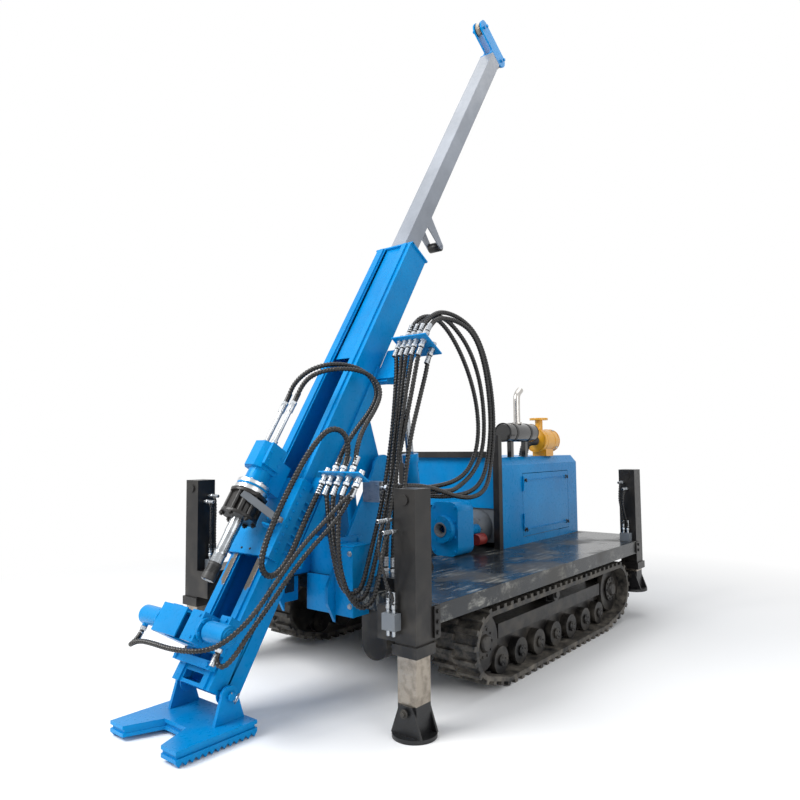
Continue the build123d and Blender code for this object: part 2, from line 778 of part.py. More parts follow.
def ports():
    """Two long hose fittings that stand on the gearbox."""
    pieces = []
    for y in port_ys:
        port = rod_z(spindle_front, y, gear_top, port_top, port_radius)
        port += rod_z(spindle_front, y, gear_top, gear_top + port_collar, port_collar_radius)
        pieces.append(port + rod_z(spindle_front, y, port_top - port_collar, port_top, port_collar_radius))
    return pieces


def clamp_box():
    """Box of two side plates and a back plate round the rod, with a cylinder at each side."""
    half = clamp_half
    x0 = rail_height + fit_gap
    body = block(x0, clamp_front, -half, half, clamp_low, clamp_top)
    body -= block(x0 + clamp_wall, clamp_front - clamp_wall, -half + clamp_wall, half - clamp_wall,
                  clamp_low + clamp_wall, clamp_top - clamp_wall)
    body -= rod_z(spindle_front, 0, clamp_low - cut_over, clamp_top + cut_over, jaw_opening + spindle_radius)
    window = jaw_side / 2 + fit_gap
    body -= block(clamp_cyl_x - window, clamp_cyl_x + window, -half - cut_over, half + cut_over,
                  clamp_cyl_z - window, clamp_cyl_z + window)
    for side in (1, -1):
        y0 = side * half
        y1 = side * clamp_frame_half
        wing = block(x0, clamp_frame_front, min(y0, y1), max(y0, y1), clamp_frame_low, clamp_frame_top)
        wing -= rod_y(clamp_cyl_x, min(y0, y1) - cut_over, max(y0, y1) + cut_over, clamp_cyl_z,
                      clamp_flange_radius + fit_gap)
        body += wing
    return body


def clamp_bar():
    """Bar bolted across the rails below the clamp, with a gap for the rod."""
    x0 = rail_height
    bar = block(x0, clamp_bar_front, -mast_width / 2, mast_width / 2, clamp_bar_low, clamp_bar_top)
    return bar


def clamp_cylinders():
    pieces = []
    for side in (1, -1):
        y0 = side * (clamp_half + fit_gap)
        y1 = y0 + side * clamp_cyl_length
        barrel = rod_y(clamp_cyl_x, min(y0, y1), max(y0, y1), clamp_cyl_z, clamp_cyl_radius)
        y3 = y0 + side * clamp_flange_thick
        barrel += rod_y(clamp_cyl_x, min(y0, y3), max(y0, y3), clamp_cyl_z, clamp_flange_radius)
        barrel += rod_z(clamp_cyl_x, side * clamp_port_y, clamp_port_s, clamp_cyl_z, bulkhead_radius)
        y2 = y0 + side * (jaw_length + jaw_travel)
        window = jaw_side / 2 + fit_gap
        barrel -= block(clamp_cyl_x - window, clamp_cyl_x + window, min(y0 - side * cut_over, y2),
                        max(y0 - side * cut_over, y2), clamp_cyl_z - window, clamp_cyl_z + window)
        pieces.append(barrel)
    return pieces


def clamp_jaw(side):
    y0 = side * (spindle_radius + jaw_opening)
    y1 = side * (clamp_half + jaw_length)
    half = jaw_side / 2
    return block(clamp_cyl_x - half, clamp_cyl_x + half, min(y0, y1), max(y0, y1),
                 clamp_cyl_z - half, clamp_cyl_z + half)


def shoe_outline(inset):
    front = shoe_front_x - inset
    rear = shoe_rear_x + inset
    half = shoe_half - inset
    notch_x = front - shoe_notch_depth
    return [(rear, -half), (front, -half), (front, -shoe_notch_mouth), (notch_x, -shoe_notch_floor),
            (notch_x, shoe_notch_floor), (front, shoe_notch_mouth), (front, half), (rear, half)]


def foot_shoe():
    """Thick forked plate with spikes below and two ears for the mast's foot pin."""
    layer = (shoe_top_z - shoe_tooth) / len(shoe_inset)
    body = None
    for index, inset in enumerate(shoe_inset):
        low_z = shoe_tooth + index * layer
        plate = plate_z(shoe_outline(inset), low_z, low_z + layer)
        body = plate if body is None else body + plate
    pitch = (shoe_front_x - shoe_rear_x) / shoe_teeth
    for side in (1, -1):
        for index in range(shoe_teeth):
            x = shoe_rear_x + pitch * index
            y0 = side * shoe_half
            y1 = side * (shoe_half - shoe_ear_thick)
            tooth = plate_y([(x, shoe_tooth), (x + pitch / 2, 0), (x + pitch, shoe_tooth)],
                            min(y0, y1), max(y0, y1))
            body += tooth
    for side in (1, -1):
        y0 = side * shoe_ear_y
        y1 = y0 + side * shoe_ear_thick
        ear = plate_y([(shoe_ear_x - shoe_ear_base / 2, shoe_top_z),
                       (shoe_ear_x + shoe_ear_base / 2, shoe_top_z),
                       (shoe_ear_x + shoe_ear_radius, shoe_ear_z),
                       (shoe_ear_x - shoe_ear_radius, shoe_ear_z)],
                      min(y0, y1), max(y0, y1))
        ear += rod_y(shoe_ear_x, min(y0, y1), max(y0, y1), shoe_ear_z, shoe_ear_radius)
        body += ear
    half = shoe_ear_y + shoe_ear_thick + shoe_pin_radius
    return body + rod_y(shoe_ear_x, -half, half, shoe_ear_z, shoe_pin_radius)


def saddle():
    """Plate behind the mast with guides along its sides and two ears back to the pivot."""
    x1 = -mast_depth - fit_gap
    x0 = x1 - saddle_thick
    half = mast_width / 2 + saddle_guide + fit_gap
    body = block(x0, x1, -half, half, saddle_low, saddle_top)
    for side in (1, -1):
        y0 = side * (mast_width / 2 + fit_gap)
        y1 = y0 + side * saddle_guide
        body += block(x1, x1 + saddle_thick, min(y0, y1), max(y0, y1), saddle_low, saddle_top)
    for side in (1, -1):
        y0 = side * saddle_ear_y
        y1 = y0 + side * saddle_ear_thick
        ear = plate_y([(x0, pivot_s - saddle_ear_half), (x0, pivot_s + saddle_ear_half),
                       (pivot_t, pivot_s + saddle_ear_radius), (pivot_t, pivot_s - saddle_ear_radius)],
                      min(y0, y1), max(y0, y1))
        ear += rod_y(pivot_t, min(y0, y1), max(y0, y1), pivot_s, saddle_ear_radius)
        ear -= rod_y(pivot_t, min(y0, y1) - cut_over, max(y0, y1) + cut_over, pivot_s,
                     pivot_pin_radius + fit_gap)
        body += ear
    for side in (1, -1):
        y0 = side * (luff_y - eye_width / 2 - fit_gap)
        y1 = y0 - side * saddle_ear_thick
        lug = plate_y([(x0, luff_head_s - 2 * eye_radius), (x0, luff_head_s + 2 * eye_radius),
                       (luff_head_t, luff_head_s + eye_radius), (luff_head_t, luff_head_s - eye_radius)],
                      min(y0, y1), max(y0, y1))
        lug += rod_y(luff_head_t, min(y0, y1), max(y0, y1), luff_head_s, eye_radius)
        lug += block(x0, x1, min(side * half, y0), max(side * half, y0), luff_head_s - 2 * eye_radius,
                     luff_head_s + 2 * eye_radius)
        body += lug
    return body


def tower():
    """Two gusset plates from the deck's front up to the pivot, with cross plates and the pivot pin."""
    pieces = None
    for side in (1, -1):
        y0 = side * tower_y
        y1 = y0 + side * tower_plate
        outline = [(deck_front_x, tower_low_z), (tower_front_x, tower_low_z + tower_front_z - tower_low_z),
                   (tower_front_x, deck_top_z), (pivot_x + tower_head_radius, pivot_z),
                   (pivot_x - tower_head_radius, pivot_z), (tower_back_x, deck_top_z),
                   (deck_front_x, deck_top_z)]
        cheek = plate_y(outline, min(y0, y1), max(y0, y1))
        cheek += rod_y(pivot_x, min(y0, y1), max(y0, y1), pivot_z, tower_head_radius)
        pieces = cheek if pieces is None else pieces + cheek
    tie_x = deck_front_x - mast_notch_depth - tower_plate
    tie = block(tie_x - tower_plate, tie_x, -tower_y, tower_y, deck_top_z, deck_top_z + tower_tie)
    half = tower_y + tower_plate
    return pieces + tie + rod_y(pivot_x, -half, half, pivot_z, pivot_pin_radius)


def luff_axis():
    head_x, head_z = leaned(luff_head_s, luff_head_t)
    dx = head_x - luff_base_x
    dz = head_z - luff_base_z
    return hypot(dx, dz), degrees(atan2(dx, dz))


luff_length, luff_angle = luff_axis()


def luff_barrel(side):
    """Barrel, upright from its base pin, then leaned to the head pin."""
    body = rod_z(0, 0, eye_radius, barrel_length, barrel_radius)
    body += rod_z(0, 0, barrel_length - barrel_gland, barrel_length, barrel_radius + sleeve_wall)
    body -= rod_z(0, 0, 2 * eye_radius, barrel_length + cut_over, rod_radius + fit_gap)
    eye = rod_y(0, -eye_width / 2, eye_width / 2, 0, eye_radius)
    eye += block(-eye_pin_radius, eye_pin_radius, -eye_width / 2, eye_width / 2, 0, 2 * eye_radius)
    body += eye
    body -= rod_y(0, -eye_width, eye_width, 0, eye_pin_radius + fit_gap)
    return Location((luff_base_x, side * luff_y, luff_base_z), (0, luff_angle, 0)) * body


def luff_rod(side):
    body = rod_z(0, 0, barrel_length - barrel_gland - rod_sunk, luff_length - eye_radius / 2, rod_radius)
    body += rod_y(0, -eye_width / 2, eye_width / 2, luff_length, eye_radius)
    outer = side * (eye_width / 2 + eye_pin_radius)
    body += rod_y(0, min(0, outer), max(0, outer), luff_length, eye_pin_radius)
    return Location((luff_base_x, side * luff_y, luff_base_z), (0, luff_angle, 0)) * body


def luff_base(side):
    """Two lugs on the deck with the cylinder's base pin."""
    pieces = None
    for end in (1, -1):
        y0 = side * luff_y + end * (eye_width / 2 + fit_gap)
        y1 = y0 + end * saddle_ear_thick
        lug = plate_y([(luff_base_x - 2 * eye_radius, deck_top_z), (luff_base_x + 2 * eye_radius, deck_top_z),
                       (luff_base_x + eye_radius, luff_base_z), (luff_base_x - eye_radius, luff_base_z)],
                      min(y0, y1), max(y0, y1))
        lug += rod_y(luff_base_x, min(y0, y1), max(y0, y1), luff_base_z, eye_radius)
        pieces = lug if pieces is None else pieces + lug
    half = eye_width / 2 + fit_gap + saddle_ear_thick
    pin = rod_y(luff_base_x, side * luff_y - half, side * luff_y + half, luff_base_z, eye_pin_radius)
    return pieces + pin


def hood_section(grow):
    """Outline of the hood across the machine, inset by a wall."""
    low = deck_top_z
    return [(hood_left_y - grow, low), (hood_left_y - grow, hood_side_z - grow / 2),
            (hood_left_y - hood_bevel - grow / 2, hood_top_z - grow),
            (hood_right_y + hood_bevel + grow / 2, hood_top_z - grow),
            (hood_right_y + grow, hood_side_z - grow / 2), (hood_right_y + grow, low)]


def hood_prism(grow, x0, x1):
    face = make_face(Plane.YZ * Polyline(*hood_section(grow), close=True))
    return Pos(x0, 0, 0) * extrude(face, x1 - x0, dir=(1, 0, 0))


def door_span(side):
    """Rear and front ends of the door; the right one stays clear of the rear leg."""
    length = hood_front_x - hood_rear_x
    rear_share = door_left_rear_share if side > 0 else door_right_rear_share
    return hood_front_x - rear_share * length, hood_front_x - door_front_share * length


def hood():
    """Sheet hood, open below and at the lower front, with a door opening in each side."""
    shell = hood_prism(0, hood_rear_x, hood_front_x)
    shell -= hood_prism(hood_wall, hood_rear_x + hood_wall, hood_front_x - hood_wall)
    shell -= block(hood_front_x - 2 * hood_wall, hood_front_x + cut_over, hood_right_y + hood_wall,
                   hood_left_y - hood_wall, deck_top_z, hood_panel_low_z)
    for y, side in ((hood_left_y, 1), (hood_right_y, -1)):
        x0, x1 = door_span(side)
        shell -= block(x0 - door_gap, x1 + door_gap, y - hood_wall - cut_over, y + hood_wall + cut_over,
                       deck_top_z + door_low - door_gap, deck_top_z + door_high + door_gap)
    for y, side in ((hood_left_y, 1), (hood_right_y, -1)):
        for z in hinge_heights():
            shell += hinge_knuckle(y, side, z, z + hinge_length)
            shell += hinge_leaf(y, side, z, z + hinge_length, 1)
    return shell


def hinge_heights():
    return [deck_top_z + door_low + share * (door_high - door_low) for share in hinge_share]


def hinge_line(y, side):
    """Place of the door's hinge axis, seen from above."""
    x0, x1 = door_span(side)
    return x1 + door_gap / 2, y + side * hinge_radius


def hinge_knuckle(y, side, z0, z1):
    x, pin_y = hinge_line(y, side)
    return rod_z(x, pin_y, z0, z1, hinge_radius)


def hinge_leaf(y, side, z0, z1, way):
    """Flat leaf from a knuckle onto the hood (way 1) or the door (way -1)."""
    x, pin_y = hinge_line(y, side)
    y1 = y + side * hood_wall
    x1 = x + way * 3 * hinge_radius
    return block(min(x, x1), max(x, x1), min(y, y1), max(y, y1), z0, z1)


def hood_door(y, side):
    """Flat door with four latches."""
    x0, x1 = door_span(side)
    y0 = y - side * hood_wall
    door = block(x0, x1, min(y0, y), max(y0, y), deck_top_z + door_low, deck_top_z + door_high)
    for z in hinge_heights():
        for low in (z - hinge_length - fit_gap, z + hinge_length + fit_gap):
            door += hinge_knuckle(y, side, low, low + hinge_length)
            door += hinge_leaf(y, side, low, low + hinge_length, -1)
    x = x0 + latch_size
    for z in (deck_top_z + door_low + 2 * latch_size, deck_top_z + door_high - 2 * latch_size):
        y1 = y + side * latch_proud
        door += block(x - latch_size / 2, x + latch_size / 2, min(y, y1), max(y, y1),
                      z - latch_size / 2, z + latch_size / 2)
    return door


def front_posts():
    """Square tube frame in front of the hood: tall left post, top bar, short right post."""
    x0 = hood_front_x
    x1 = x0 + post_side
    frame = block(x0, x1, hood_left_y - post_side, hood_left_y, deck_top_z, post_top_z)
    frame += block(x0, x1, hood_right_y, hood_right_y + post_side, deck_top_z, post_bar_z)
    frame += block(x0, x1, hood_right_y, hood_left_y, post_bar_z - post_bar, post_bar_z)
    return frame


def engine():
    length, width, height = engine_size
    x = hood_front_x - hood_wall - cut_over - length / 2
    body = Pos(x, bell_y, deck_top_z + engine_z + height / 2) * Box(length, width, height)
    for dx in (-length / 3, length / 3):
        for dy in (-width / 3, width / 3):
            body += block(x + dx - post_side / 2, x + dx + post_side / 2, bell_y + dy - post_side / 2,
                          bell_y + dy + post_side / 2, deck_top_z, deck_top_z + engine_z)
    return body


def bell_housing():
    x1 = hood_front_x - hood_wall - cut_over
    cone = Cone(bell_radius, bell_radius / 2, bell_length)
    body = Pos(x1 + bell_length / 2, bell_y, bell_z) * Rot(0, 90, 0) * cone
    return body


def pump_gearbox():
    """Cast gearbox block with a raised bearing ring, bolted to a foot on the deck."""
    length, width, height = pump_size
    body = Pos(pump_x, pump_y, deck_top_z + height / 2) * Box(length, width, height)
    body = fillet(body.edges().filter_by(Axis.X), height / 6)
    x1 = pump_x + length / 2
    body += rod_x(x1, x1 + pump_bore, pump_y, deck_top_z + height / 2, 2 * pump_bore)
    body -= rod_x(x1 - pump_bore, x1 + 2 * pump_bore, pump_y, deck_top_z + height / 2, pump_bore)
    body += rod_x(hood_front_x - hood_wall - cut_over + bell_length, pump_x - length / 2 + cut_over, pump_y,
                  bell_z, roller_hub_radius)
    return body


def muffler():
    body = rod_x(muffler_x - muffler_length / 2, muffler_x + muffler_length / 2, muffler_y, muffler_z,
                 muffler_radius)
    body = fillet(body.edges(), muffler_radius / 6)
    for share in (-1, 1):
        x = muffler_x + share * muffler_length / 4
        body += block(x - pipe_radius, x + pipe_radius, muffler_y - pipe_radius, muffler_y + pipe_radius,
                      hood_top_z, muffler_z - muffler_radius / 2)
    return body


def exhaust_pipe():
    path = FilletPolyline(
        (muffler_x, muffler_y, muffler_z + muffler_radius),
        (muffler_x, muffler_y, muffler_z + muffler_radius + pipe_rise),
        (muffler_x - 3 * pipe_radius, muffler_y, muffler_z + muffler_radius + pipe_rise + 3 * pipe_radius),
        radius=3 * pipe_radius)
    start = Plane(origin=path @ 0, z_dir=path % 0)
    outer = sweep(start * Circle(pipe_radius), path=path)
    inner = sweep(start * Circle(pipe_radius - pipe_wall), path=path)
    return outer - inner


def air_cleaner():
    """Horizontal drum on a foot, with a rain cap above and its duct towards the engine."""
    half = cleaner_length / 2
    drum = rod_x(cleaner_x - half, cleaner_x + half, cleaner_y, cleaner_z, cleaner_radius)
    drum = fillet(drum.edges(), cleaner_radius / 5)
    drum += rod_z(cleaner_x + half / 2, cleaner_y, cleaner_z, cleaner_z + 2 * cleaner_radius,
                  cleaner_radius / 3)
    drum += rod_z(cleaner_x + half / 2, cleaner_y, cleaner_z + 2 * cleaner_radius - pipe_radius,
                  cleaner_z + 2 * cleaner_radius, cleaner_cap_radius)
    drum += block(cleaner_x - half / 2, cleaner_x + half / 2, cleaner_y - half / 2, cleaner_y + half / 2,
                  hood_top_z, cleaner_z - cleaner_radius / 2)
    return drum


def console():
    """Operator's box on a post at the right side of the deck."""
    length, width, height = console_size
    body = block(console_x - length / 2, console_x + length / 2, console_y - width / 2, console_y + width / 2,
                 console_top_z - height, console_top_z)
    body += block(console_x - console_post / 2, console_x + console_post / 2, console_y - console_post / 2,
                  console_y + console_post / 2, deck_top_z, console_top_z - height)
    return body


def hose_bracket(s, plate_span, reach_t, arm_t, root_y, arm_height, bulkheads):
    """Plate across the hoses, carried by an upright arm plate off the left side of what carries it."""
    y0, y1 = plate_span
    t0, t1 = reach_t
    plate = block(t0, t1, y0, y1, s, s + bracket_plate)
    plate += block(arm_t, arm_t + bracket_plate, root_y, (y0 + y1) / 2, s - arm_height, s)
    plate += block(arm_t, arm_t + bracket_plate, root_y, y0, s, s + bracket_plate)
    for y, t in bulkheads:
        plate += rod_z(t, y, s + bracket_plate / 2 - bulkhead_length / 2,
                       s + bracket_plate / 2 + bulkhead_length / 2, bulkhead_radius)
    return plate


def valve_block():
    """Block on the tower's left cheek with two hose fittings to the rear."""
    body = block(*valve_x, tower_y + tower_plate, valve_outer_y, *valve_z)
    for z in valve_port_zs:
        body += rod_x(valve_x[0] - valve_port_length, valve_x[0], valve_port_y, z, bulkhead_radius)
    return body


mast_up = Vector(-sin(radians(mast_lean)), 0, cos(radians(mast_lean)))


def mast_point(s, t, y):
    x, z = leaned(s, t)
    return Vector(x, y, z)


def fitting_end(kind, index, side):
    """Middle of a fitting's end face, and the way out of it."""
    if kind == "valve":
        return Vector(valve_x[0] - valve_port_length, valve_port_y, valve_port_zs[index]), Vector(-1, 0, 0)
    if kind == "port":
        return mast_point(port_top, spindle_front, port_ys[index]), mast_up
    if kind == "clamp":
        return mast_point(clamp_port_s, clamp_cyl_x, -clamp_port_y), -mast_up
    plate_s = upper_bracket_s if kind == "upper" else lower_bracket_s
    y, t = (upper_bulkheads if kind == "upper" else lower_bulkheads)[index]
    end_s = plate_s + bracket_plate / 2 + side * bulkhead_length / 2
    return mast_point(end_s, t, y), mast_up * side


def hose(name, radius, start, end, points):
    """Round hose from fitting to fitting, with arcs as wide as its runs allow."""
    first, first_way = fitting_end(*start)
    last, last_way = fitting_end(*end)
    route = [first, first + first_way * hose_lead]
    route += [Vector(*point) for point in points]
    route += [last + last_way * hose_lead, last]
    bends = []
    for before, corner, after in zip(route, route[1:], route[2:]):
        run_in = corner - before
        run_out = after - corner
        half_turn = radians(run_in.get_angle(run_out)) / 2
        bends.append(hose_round_share * min(run_in.length, run_out.length) / tan(half_turn))
    path = FilletPolyline(*route, radius=bends)
    section = Plane(origin=path @ 0, z_dir=path % 0) * Circle(radius)
    tube = sweep(section, path=path)
    share = tube.volume / (pi * radius**2 * path.length)
    print(f"{name}: length {path.length:.0f} mm, tightest bend {min(bends):.0f} mm, volume share {share:.3f}")
    return tube


def guide_arm():
    """Two arms from the boom's back with the pin of the guide roller."""
    back = boom_front - boom_side
    half = guide_width / 2 + fit_gap
    arms = block(back - guide_arm_thick, back, -half - guide_arm_thick, half + guide_arm_thick,
                 guide_root_s - 2 * guide_arm_half, guide_root_s + 2 * guide_arm_half)
    for side in (1, -1):
        y0 = side * half
        y1 = y0 + side * guide_arm_thick
        arm = plate_y([(back, guide_root_s + 2 * guide_arm_half), (back, guide_root_s - 2 * guide_arm_half),
                       (guide_t, guide_s - guide_arm_half), (guide_t, guide_s + guide_arm_half)],
                      min(y0, y1), max(y0, y1))
        arm += rod_y(guide_t, min(y0, y1), max(y0, y1), guide_s, guide_arm_half)
        arms += arm
    reach = half + 2 * guide_arm_thick
    return arms + rod_y(guide_t, -reach, reach, guide_s, guide_pin_radius)


def guide_roller():
    half = guide_width / 2
    body = rod_y(guide_t, -half, half, guide_s, guide_radius)
    return body - rod_y(guide_t, -half - cut_over, half + cut_over, guide_s, guide_pin_radius + fit_gap)


def front_tank():
    """Tank with rounded lower edges, hung under the deck's front."""
    low_z = deck_top_z - deck_channel_height
    body = block(tank_rear_x, tank_front_x, tank_inner_y, tank_outer_y, tank_low_z, low_z)
    return fillet(body.edges().filter_by(Axis.X).group_by(Axis.Z)[0], tank_round)


def on_mast(*pieces):
    return [mast_place * piece for piece in pieces]


def build():
    os.makedirs("parts", exist_ok=True)
    belt = track_belt()
    left, right = both_sides(belt)
    save("track_left", left)
    save("track_right", right)
    wheels = rollers()
    save("rollers_left", *wheels)
    save("rollers_right", *[wheel.mirror(Plane.XZ) for wheel in wheels])
    save("undercarriage_frame", undercarriage())
    save("deck", deck())
    save("leg_sleeves", *leg_sleeves())
    for name, x, y, foot_z in (
            ("leg_front_left", leg_front_x, leg_side_y, 0),
            ("leg_front_right", leg_front_x, -leg_side_y, 0),
            ("leg_rear_left", leg_rear_x, leg_side_y, rear_foot_z),
            ("leg_rear_right", leg_rear_x, -leg_side_y, rear_foot_z)):
        save(name, leg_ram(x, y, foot_z))
    save("mast_tower", tower())
    save("mast_saddle", *on_mast(saddle()))
    save("mast_frame", *on_mast(mast_frame() + clamp_bar()))
    save("mast_boom", *on_mast(boom()))
    save("crown_bracket", *on_mast(crown()))
    save("sheave_front", *on_mast(sheave(sheave_front)))
    save("sheave_rear", *on_mast(sheave(sheave_back)))
    save("head_carriage", *on_mast(carriage()))
    save("head_gearbox", *on_mast(gearbox()))
    save("head_chuck", *on_mast(chuck()))
    save("head_ports", *on_mast(*ports()))
    save("spindle", *on_mast(spindle()))
    save("clamp_box", *on_mast(clamp_box()))
    save("clamp_cylinders", *on_mast(*clamp_cylinders()))
    save("clamp_jaw_left", *on_mast(clamp_jaw(1)))
    save("clamp_jaw_right", *on_mast(clamp_jaw(-1)))
    save("foot_shoe", foot_shoe())
    for name, side in (("left", 1), ("right", -1)):
        save(f"luff_barrel_{name}", luff_barrel(side))
        save(f"luff_rod_{name}", luff_rod(side))
    save("luff_lugs", luff_base(1), luff_base(-1))
    save("engine_hood", hood())
    save("hood_door_left", hood_door(hood_left_y, 1))
    save("hood_door_right", hood_door(hood_right_y, -1))
    save("front_posts", front_posts())
    save("engine", engine())
    save("bell_housing", bell_housing())
    save("pump_gearbox", pump_gearbox())
    save("muffler", muffler())
    save("exhaust_pipe", exhaust_pipe())
    save("air_cleaner", air_cleaner())
    save("control_console", console())
    guide_outer = mast_width / 2 + fit_gap + saddle_guide
    upper = hose_bracket(upper_bracket_s, upper_plate_y, upper_plate_t, upper_arm_t, guide_outer,
                         upper_bracket_s - saddle_top + bracket_arm_height, upper_bulkheads)
    save("hose_bracket_upper", *on_mast(upper))
    lower = hose_bracket(lower_bracket_s, lower_plate_y, lower_plate_t, lower_arm_t, mast_width / 2,
                         bracket_arm_height, lower_bulkheads)
    save("hose_bracket_lower", *on_mast(lower))
    save("guide_arm", *on_mast(guide_arm()))
    save("guide_roller", *on_mast(guide_roller()))
    save("front_tank", front_tank())
    save("valve_block", valve_block())
    for row in hose_rows:
        save(row[0], hose(*row))


build()
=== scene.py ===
import bpy
import math
import numpy as np
from mathutils import Matrix, Vector


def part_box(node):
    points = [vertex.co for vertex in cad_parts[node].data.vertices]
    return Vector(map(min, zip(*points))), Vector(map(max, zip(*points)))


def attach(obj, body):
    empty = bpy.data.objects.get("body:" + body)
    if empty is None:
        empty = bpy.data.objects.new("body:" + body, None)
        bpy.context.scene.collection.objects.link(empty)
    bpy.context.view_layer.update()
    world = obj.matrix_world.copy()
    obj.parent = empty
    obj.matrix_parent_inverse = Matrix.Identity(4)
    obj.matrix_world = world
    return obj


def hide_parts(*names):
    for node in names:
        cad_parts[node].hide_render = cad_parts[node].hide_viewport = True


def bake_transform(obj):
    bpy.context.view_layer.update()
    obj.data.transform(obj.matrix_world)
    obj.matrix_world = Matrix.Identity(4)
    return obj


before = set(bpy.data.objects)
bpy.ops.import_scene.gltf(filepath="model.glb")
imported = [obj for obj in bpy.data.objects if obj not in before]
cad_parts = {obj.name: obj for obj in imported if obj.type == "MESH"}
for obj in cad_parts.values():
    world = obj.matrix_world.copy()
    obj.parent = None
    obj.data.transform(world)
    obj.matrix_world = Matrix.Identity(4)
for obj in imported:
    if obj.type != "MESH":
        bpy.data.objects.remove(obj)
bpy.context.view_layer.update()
print("frame loaded")

# All lengths are metres in the row frame: X forward, Y left, Z up.

# Colours as sRGB hex
palette = {
    "blue": "#0389CB",
    "blueDeep": "#0376B6",
    "boomGrey": "#8E949E",
    "boomShade": "#70767F",
    "black": "#101113",
    "blackWarm": "#1E1B19",
    "deck": "#1C2024",
    "deckScuff": "#A9A8A0",
    "dust": "#8B8479",
    "rubber": "#17181A",
    "guard": "#0D0E10",
    "steel": "#A79E92",
    "steelDark": "#6E665C",
    "zinc": "#B4B8BC",
    "chrome": "#A8ACB0",
    "aluminium": "#C9CBCD",
    "cast": "#6F757B",
    "yellow": "#F2B31C",
    "yellowDeep": "#D28F10",
    "red": "#8E1A14",
    "plastic": "#121315",
}

camera = {"place": (4.370, 3.419, 1.607), "forward": (-0.7741, -0.6293, 0.0687), "roll": -0.530,
          "focal": 30.358, "sensor": 36.0}

light = {"worldStrength": 0.48, "keyPower": 740.0, "keySize": 4.5, "keyPlace": (6.5, -2.5, 6.5),
         "fillPower": 150.0, "fillSize": 5.0, "fillPlace": (2.0, 7.5, 3.5),
         "topPower": 170.0, "topSize": 6.0, "topPlace": (-1.5, 0.5, 7.5),
         "target": (0.0, 0.0, 1.1), "shadowEnd": 2.6, "whiteStart": 6.0}

edges = {"weld": 0.00002, "pieceAngle": 35.0, "nodeAngle": 40.0}

mast = {"lean": 32.2, "footX": 2.115, "footZ": 0.220, "wearLow": 0.72, "wearHigh": 0.92}


# Materials

def toLinear(hexColour):
    """sRGB hex turned linear, with alpha 1."""
    values = [int(hexColour[i:i + 2], 16) / 255 for i in (1, 3, 5)]
    return [v / 12.92 if v <= 0.04045 else ((v + 0.055) / 1.055) ** 2.4 for v in values] + [1.0]


def wire(tree, node, sockets):
    """Gives inputs, by name or number, a value or another node's output."""
    for key, value in sockets.items():
        if isinstance(value, bpy.types.NodeSocket):
            tree.links.new(value, node.inputs[key])
        else:
            node.inputs[key].default_value = value


def addNode(tree, kind, sockets=None, **settings):
    """Adds one node with its settings, and wires its inputs."""
    node = tree.nodes.new(kind)
    for key, value in settings.items():
        setattr(node, key, value)
    wire(tree, node, sockets or {})
    return node


def startMaterial(name):
    """New material with its node tree and its surface shader."""
    material = bpy.data.materials.new(name)
    material.use_nodes = True
    tree = material.node_tree
    surface = next(n for n in tree.nodes if n.type == "BSDF_PRINCIPLED")
    return material, tree, surface


def stretched(tree, scale):
    """Object coordinates multiplied by scale along X, Y and Z."""
    place = addNode(tree, "ShaderNodeTexCoord").outputs["Object"]
    return addNode(tree, "ShaderNodeMapping", {"Vector": place, "Scale": scale}).outputs["Vector"]


def noise(tree, vector, size, detail=4.0, roughness=0.55):
    """Noise whose blotches are about size metres wide."""
    return addNode(tree, "ShaderNodeTexNoise", {"Vector": vector, "Scale": 1 / size, "Detail": detail,
                                                "Roughness": roughness}).outputs["Fac"]


def ranged(tree, value, low, high, start=0.0, end=1.0):
    """Value from low to high carried to start to end, and held beyond them."""
    return addNode(tree, "ShaderNodeMapRange", {"Value": value, "From Min": low, "From Max": high,
                                                "To Min": start, "To Max": end}).outputs["Result"]


def mixed(tree, factor, a, b):
    """Colour a where factor is 0 and colour b where it is 1."""
    return addNode(tree, "ShaderNodeMix", {"Factor": factor, 6: a, 7: b}, data_type="RGBA").outputs[2]


def figured(tree, operation, a, b):
    """Result of one sum of two values."""
    return addNode(tree, "ShaderNodeMath", {0: a, 1: b}, operation=operation).outputs[0]


def multiplied(tree, a, b):
    return figured(tree, "MULTIPLY", a, b)


def coordinate(tree, axis, vector):
    """X, Y or Z of a place."""
    return addNode(tree, "ShaderNodeSeparateXYZ", {0: vector}).outputs[axis]


def bumped(tree, surface, height, depth):
    """Bump of depth metres from a height between 0 and 1."""
    bump = addNode(tree, "ShaderNodeBump", {"Height": height, "Distance": depth, "Strength": 1.0})
    wire(tree, surface, {"Normal": bump.outputs["Normal"]})


